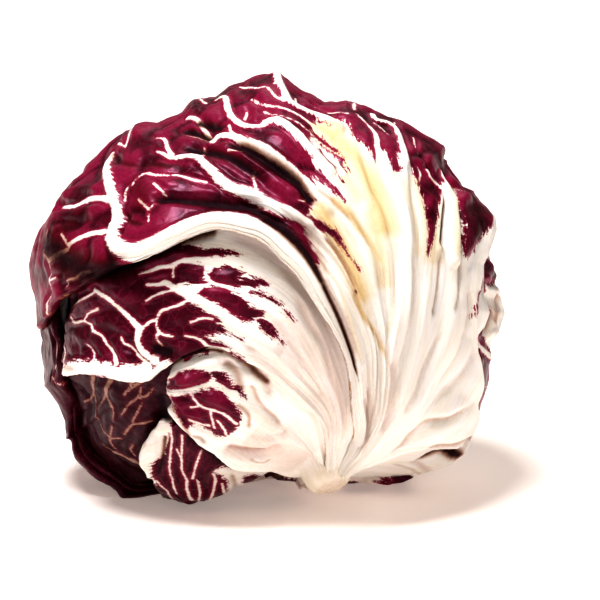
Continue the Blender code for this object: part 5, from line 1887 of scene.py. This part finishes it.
class HeartTree:
    """A Geometry Nodes tree that bends one flat grid into a cupped leaf round the core."""

    ACROSS = 72
    ALONG = 60
    RADII = (61.5, 61.5, 57.0)
    WIDTH = 60.0
    LENGTH = 90.0
    THICKNESS = 1.0
    PUCKER = 3.0
    SEED_STEP = 3.7
    BASE = (0.42, 40.0)  # share of the leaf that is all white, and how quickly it ends
    MIDRIB = (1.05, 4.0, 60.0)  # where the midrib ends, its strength and its thinning sideways
    SIDE_RIBS = (16.0, -7.0, 3.4)  # ribs across, their slant and their strength
    FRAY = 3.0

    def __init__(self, ball: HeadBall, finish: bpy.types.Material) -> None:
        """Build the tree.

        Args:
            ball: The head's ball.
            finish: The material of the leaves.
        """
        self.ball = ball
        self.tree = bpy.data.node_groups.new("heart_leaf", "GeometryNodeTree")
        face = self.tree.interface
        face.new_socket("Geometry", in_out="INPUT", socket_type="NodeSocketGeometry")
        for name in ("Inset", "Turn", "Half Width", "Reach", "Start", "Pucker", "Seed"):
            face.new_socket(name, in_out="INPUT", socket_type="NodeSocketFloat")
        face.new_socket("Geometry", in_out="OUTPUT", socket_type="NodeSocketGeometry")
        self.net = Wiring(self.tree)
        self.given = self.net.add("NodeGroupInput").outputs
        self.wire(finish)

    def wire(self, finish: bpy.types.Material) -> None:
        """Join the nodes of the tree.

        Args:
            finish: The material of the leaves.
        """
        net = self.net
        grid = net.add("GeometryNodeMeshGrid", {"Size X": 2.0, "Size Y": 1.0, "Vertices X": self.ACROSS + 1,
                                                "Vertices Y": self.ALONG + 1})
        place = net.add("ShaderNodeSeparateXYZ", {0: net.add("GeometryNodeInputPosition").outputs[0]}).outputs
        share, along = place[0], net.plus(place[1], 0.5)
        direction = self.direction(share, along)
        fields = {"rib": self.rib_field(share, along, direction),
                  "grain_across": net.times(share, self.WIDTH), "grain_along": net.times(along, self.LENGTH),
                  "edge": net.times(net.minus(1.0, along), self.LENGTH)}
        shape = grid.outputs["Mesh"]
        for name, value in fields.items():
            shape = net.add("GeometryNodeStoreNamedAttribute",
                            {"Geometry": shape, "Name": name, "Value": value},
                            data_type="FLOAT", domain="POINT").outputs[0]
        for kind, extra in (("GeometryNodeSetPosition", {"Position": self.bent_place(direction)}),
                            ("GeometryNodeSetShadeSmooth", {}), ("GeometryNodeRealizeInstances", {}),
                            ("GeometryNodeSetMaterial", {"Material": finish})):
            shape = net.add(kind, {"Geometry": shape, **extra}).outputs[0]
        net.add("NodeGroupOutput", {0: shape})

    def direction(self, share: Socket, along: Socket) -> Socket:
        """Find the direction of every place of the leaf from the middle of the head.

        Args:
            share: Place across the leaf, from -1 to 1.
            along: Place along the leaf, from 0 to 1.

        Returns:
            Unit directions in the ball.
        """
        net, given = self.net, self.given
        swell = net.math("MULTIPLY_ADD", net.math("SINE", net.times(along, math.pi)), 0.28, 0.72)
        turned = net.math("MULTIPLY_ADD", net.times(given["Half Width"], swell), share, given["Turn"])
        turned = net.math("RADIANS", turned)
        tip = net.times(given["Reach"], net.math("MULTIPLY_ADD", net.times(share, share), -0.16, 1.0))
        tip = net.math("RADIANS", tip)
        theta = net.math("MULTIPLY_ADD", net.minus(tip, given["Start"]), along, given["Start"])
        butt, first, second = self.ball.butt_axes()
        sine = net.math("SINE", theta)
        return self.sum_of((net.math("COSINE", theta), butt),
                           (net.times(sine, net.math("COSINE", turned)), first),
                           (net.times(sine, net.math("SINE", turned)), second))

    def bent_place(self, direction: Socket) -> Socket:
        """Carry directions to the leaf's depth in the head, with its small puckers.

        Args:
            direction: Unit directions in the ball.

        Returns:
            Positions in metres.
        """
        net, given = self.net, self.given
        seed = net.add("ShaderNodeCombineXYZ", {0: given["Seed"]}).outputs[0]
        rise = net.times(net.swing(net.vector("ADD", direction, seed), 7.0, 3.0, 0.55), given["Pucker"])
        scale = net.math("MULTIPLY_ADD", net.minus(given["Inset"], rise), -1.0 / self.ball.radius, 1.0)
        parts = net.add("ShaderNodeSeparateXYZ", {0: direction}).outputs
        offset = self.sum_of(*((net.times(parts[k], scale), axis * self.RADII[k] * MM)
                               for k, axis in enumerate(self.ball.axes)))
        return net.vector("ADD", offset, tuple(c * MM for c in self.ball.centre))

    def sum_of(self, *terms: tuple[Socket, Array]) -> Socket:
        """Add up fixed vectors, each scaled by a value.

        Args:
            *terms: Pairs of a value and a vector.

        Returns:
            The sum.
        """
        scaled = [self.net.vector("SCALE", tuple(map(float, vector)), value) for value, vector in terms]
        total = scaled[0]
        for part in scaled[1:]:
            total = self.net.vector("ADD", total, part)
        return total

    def rib_field(self, share: Socket, along: Socket, direction: Socket) -> Socket:
        """Measure into white: a broad white base, a midrib and side ribs that thin outwards.

        Args:
            share: Place across the leaf, from -1 to 1.
            along: Place along the leaf, from 0 to 1.
            direction: Unit directions in the ball.

        Returns:
            The distance into white.
        """
        net = self.net
        (base_end, base_fall), (tip, strength, thinning) = self.BASE, self.MIDRIB
        count, slant, side_strength = self.SIDE_RIBS
        off_middle = net.math("ABSOLUTE", share)
        base = net.times(net.minus(base_end, along), base_fall)
        midrib = net.minus(net.times(net.minus(tip, along), strength), net.times(off_middle, thinning))
        waves = net.math("SINE", net.math("MULTIPLY_ADD", off_middle, count, net.times(along, slant)))
        side = net.math("MULTIPLY_ADD", waves, side_strength, net.math("MULTIPLY_ADD", along, -2.2, -1.4))
        widest = net.math("MAXIMUM", net.math("MAXIMUM", base, midrib), side)
        return net.plus(widest, net.times(net.swing(direction, 5.0, 3.0), self.FRAY))

    def leaf(self, number: int, sizes: HeartLeaf) -> bpy.types.Object:
        """Make one heart leaf.

        Args:
            number: Its number from the outside in.
            sizes: Its sizes.

        Returns:
            The leaf as a plain, closed mesh.
        """
        distance = self.ball.radius - sizes.inset
        start = self.ball.start_angle(distance, self.ball.core_radius(distance) + self.ball.stem_gap)
        carrier = linked("heart_carrier", bpy.data.meshes.new("heart_carrier"))
        bend = carrier.modifiers.new("Bend", "NODES")
        bend.node_group = self.tree
        values = {"Inset": sizes.inset, "Turn": sizes.turn, "Half Width": sizes.half_width,
                  "Reach": sizes.reach, "Start": start, "Pucker": self.PUCKER,
                  "Seed": number * self.SEED_STEP}
        for item in self.tree.interface.items_tree:
            if item.in_out == "INPUT" and item.name in values:
                bend[item.identifier] = float(values[item.name])
        carrier.update_tag()
        solid = carrier.modifiers.new("Thickness", "SOLIDIFY")
        solid.thickness = self.THICKNESS * MM
        solid.offset = 0.0
        bpy.context.view_layer.update()
        evaluated = carrier.evaluated_get(bpy.context.evaluated_depsgraph_get())
        mesh = bpy.data.meshes.new_from_object(evaluated)
        mesh.name = f"heart_leaf_{number}"
        leaf = linked(mesh.name, mesh)
        bpy.data.objects.remove(carrier, do_unlink=True)
        return leaf


# ---- core ----


@dataclass
class Core:
    """The stem that the leaves grow from, with its rounded cut end."""

    ball: HeadBall = field(default_factory=HeadBall)
    # (distance from the middle of the head, radius)
    profile: tuple[Pair, ...] = ((62.4, 0.3), (62.3, 2.0), (61.9, 3.6), (61.2, 4.8), (60.2, 5.7), (59.0, 6.2),
                                 (57.6, 6.5), (56.0, 6.7), (54.0, 6.8), (51.0, 6.8), (46.0, 6.6), (36.0, 5.6),
                                 (26.0, 4.4), (18.0, 3.0), (15.0, 1.7), (14.1, 0.3))
    segments: int = 72
    rings: int = 90

    CAP = 0.02
    THINNEST = 0.05

    def build(self) -> bpy.types.Object:
        """Build the core as one closed turned solid with shallow flutes.

        Returns:
            The core's object at the origin.
        """
        profile = smooth_through(np.array(self.profile), np.linspace(0.0, 1.0, self.rings))
        axes = self.ball.axes
        axis = sum(part * axes[k] for k, part in enumerate(self.ball.butt_axes()[0]))
        side = np.cross(axis, axes[2])
        side = side / np.linalg.norm(side)
        turn = np.linspace(0.0, FULL_TURN, self.segments, endpoint=False)
        flute = 1.0 + 0.035 * np.sin(turn * 5.0 + 0.6) + 0.02 * np.sin(turn * 9.0 + 2.0)
        spokes = np.cos(turn)[:, None] * side + np.sin(turn)[:, None] * np.cross(axis, side)
        middle = np.array(self.ball.centre)
        rows = [middle + axis * distance + spokes * (np.maximum(radius, self.THINNEST) * flute)[:, None]
                for distance, radius in profile]
        ends = [[middle + axis * (profile[0, 0] + self.CAP)], [middle + axis * (profile[-1, 0] - self.CAP)]]
        places = np.concatenate(rows + ends)
        places[:, 2] = np.maximum(places[:, 2], 0.0)
        index = np.arange(self.segments * self.rings).reshape(self.rings, self.segments)
        after = np.roll(index, -1, axis=1)
        quads = np.stack((index[:-1], index[1:], after[1:], after[:-1]), axis=-1).reshape(-1, 4)
        first, last = len(places) - 2, len(places) - 1
        caps = np.concatenate((
            np.stack((np.full(self.segments, first), index[0], after[0]), axis=1),
            np.stack((np.full(self.segments, last), after[-1], index[-1]), axis=1)))
        a, b, c = (places[quads[:, k]] for k in range(3))
        spine = middle + ((a - middle) @ axis)[:, None] * axis
        if (np.cross(b - a, c - a) * (a - spine)).sum() < 0.0:
            quads, caps = quads[:, ::-1], caps[:, ::-1]
        obj = mesh_object("core_stem", places * MM, [quads, caps])
        self.dress(obj, profile)
        return obj

    def dress(self, obj: bpy.types.Object, profile: Array) -> None:
        """Write the fields that the finish reads: cream all over, browned at the cut end.

        Args:
            obj: The core.
            profile: Its smooth profile.
        """
        distance = np.concatenate((np.repeat(profile[:, 0], self.segments), profile[[0, -1], 0]))
        turn = np.concatenate((np.tile(np.arange(self.segments), self.rings), (0.0, 0.0)))
        write_fields(obj, {"rib": np.full(len(distance), FAR_AWAY), "edge": np.full(len(distance), 20.0),
                           "tan": smoothstep(distance, 60.9, 62.0) * 0.35,
                           "yellow": smoothstep(distance, 52.0, 60.0) * 0.35,
                           "grain_across": turn * 0.5, "grain_along": distance})


# ---- studio ----


@dataclass(frozen=True)
class SoftBox:
    """One soft light: where it stands, its size in metres and its power in watts."""

    name: str
    place: Triple
    size: float
    power: float


@dataclass
class Studio:
    """The pale floor, the soft lights and the camera."""

    ball: HeadBall = field(default_factory=HeadBall)
    frame_width: float = 168.0
    distance: float = 2.5
    aim: Pair = (9.8, -2.24)
    sensor: float = 36.0
    far_clip: float = 20.0
    exposure: float = -0.48
    floor_size: float = 30.0
    floor_colour: Triple = (0.93, 0.86, 0.82)
    floor_roughness: float = 0.8
    floor_gloss: float = 0.1
    floor_glow: Triple = (1.0, 0.86, 0.79)
    glow_strength: float = 0.33
    world_colour: Triple = (1.0, 0.92, 0.90)
    world_strength: float = 0.20
    lights: tuple[SoftBox, ...] = (
        SoftBox("key", (-0.24, -0.20, 1.24), 0.45, 25.0),
        SoftBox("front", (0.30, -1.35, 0.60), 0.60, 2.0),
        SoftBox("rim", (0.1, 0.9, 0.9), 0.8, 1.6),
    )

    def build(self) -> None:
        """Build the floor, the lights and the camera."""
        self.build_floor()
        self.build_world()
        for light in self.lights:
            self.build_light(light)
        self.build_camera()
        view = bpy.context.scene.view_settings
        view.view_transform = "Standard"
        view.look = "High Contrast"
        view.exposure = self.exposure

    def build_floor(self) -> None:
        """Build the pale floor, which isn't part of the object."""
        half = self.floor_size / 2
        mesh = bpy.data.meshes.new("floor")
        mesh.from_pydata([(-half, -half, 0), (half, -half, 0), (half, half, 0), (-half, half, 0)], [],
                         [(0, 1, 2, 3)])
        floor = linked("floor", mesh)
        material = bpy.data.materials.new("pale_floor")
        material.use_nodes = True
        inputs = material.node_tree.nodes["Principled BSDF"].inputs
        inputs["Base Color"].default_value = (*self.floor_colour, 1.0)
        inputs["Roughness"].default_value = self.floor_roughness
        inputs["Emission Color"].default_value = (*self.floor_glow, 1.0)
        inputs["Emission Strength"].default_value = self.glow_strength
        inputs["Specular IOR Level"].default_value = self.floor_gloss
        mesh.materials.append(material)

    def build_world(self) -> None:
        """Fill the surroundings with a weak warm light."""
        world = bpy.data.worlds.new("studio")
        world.use_nodes = True
        background = world.node_tree.nodes["Background"]
        background.inputs["Color"].default_value = (*self.world_colour, 1.0)
        background.inputs["Strength"].default_value = self.world_strength
        bpy.context.scene.world = world

    def build_light(self, light: SoftBox) -> None:
        """Hang one soft light, turned towards the head.

        Args:
            light: The light.
        """
        data = bpy.data.lights.new(light.name, "AREA")
        data.shape = "DISK"
        data.size = light.size
        data.energy = light.power
        lamp = linked(light.name, data)
        lamp.location = light.place
        aim = Vector(np.array(self.ball.centre) * MM - np.array(light.place))
        lamp.rotation_euler = aim.to_track_quat("-Z", "Y").to_euler()

    def build_camera(self) -> None:
        """Stand the camera square to the near side of the head."""
        across, up, near = self.ball.axes
        data = bpy.data.cameras.new("camera")
        data.sensor_width = self.sensor
        data.lens = self.sensor * self.distance / (self.frame_width * MM)
        data.clip_end = self.far_clip
        camera = linked("camera", data)
        target = (np.array(self.ball.centre) + self.aim[0] * across + self.aim[1] * up) * MM
        camera.location = target + near * self.distance
        camera.rotation_euler = Vector(-near).to_track_quat("-Z", "Y").to_euler()
        bpy.context.scene.camera = camera


# ---- the whole head ----


def settle(piece: bpy.types.Object, node: str) -> None:
    """Hand a finished piece over to the frame.

    Args:
        piece: The piece.
        node: The CAD node that it stands for.
    """
    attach(piece, "root")
    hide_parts(node)
    LOG.info("%s stands for %s", piece.name, node)


def main() -> None:
    """Build the head leaf by leaf, then the studio."""
    logging.basicConfig(level=logging.INFO, format="%(name)s: %(message)s")
    ball = HeadBall()
    effects = (marbling_group(), pucker_group(), margin_group())
    outer = LeafFinish("outer_leaf").build(*effects)
    heart = LeafFinish("pale_heart_leaf", blade=PALE_BLADE, fray=1.2, cell=4.0, dry_reach=0.2).build(*effects)
    stem = LeafFinish("cream_stem", dry_reach=0.0, bump=0.4).build(*effects)
    for leaf in wrapper_leaves():
        piece = leaf.build()
        piece.name = leaf.name.replace("leaf_", "") + "_leaf"
        piece.data.materials.append(outer)
        settle(piece, leaf.name)
    hearts = HeartTree(ball, heart)
    for number, sizes in enumerate(HEART_LEAVES, start=1):
        settle(hearts.leaf(number, sizes), f"leaf_heart_{number}")
    core = Core(ball).build()
    core.data.materials.append(stem)
    settle(core, "core")
    Studio(ball).build()


if __name__ == "__main__":
    main()
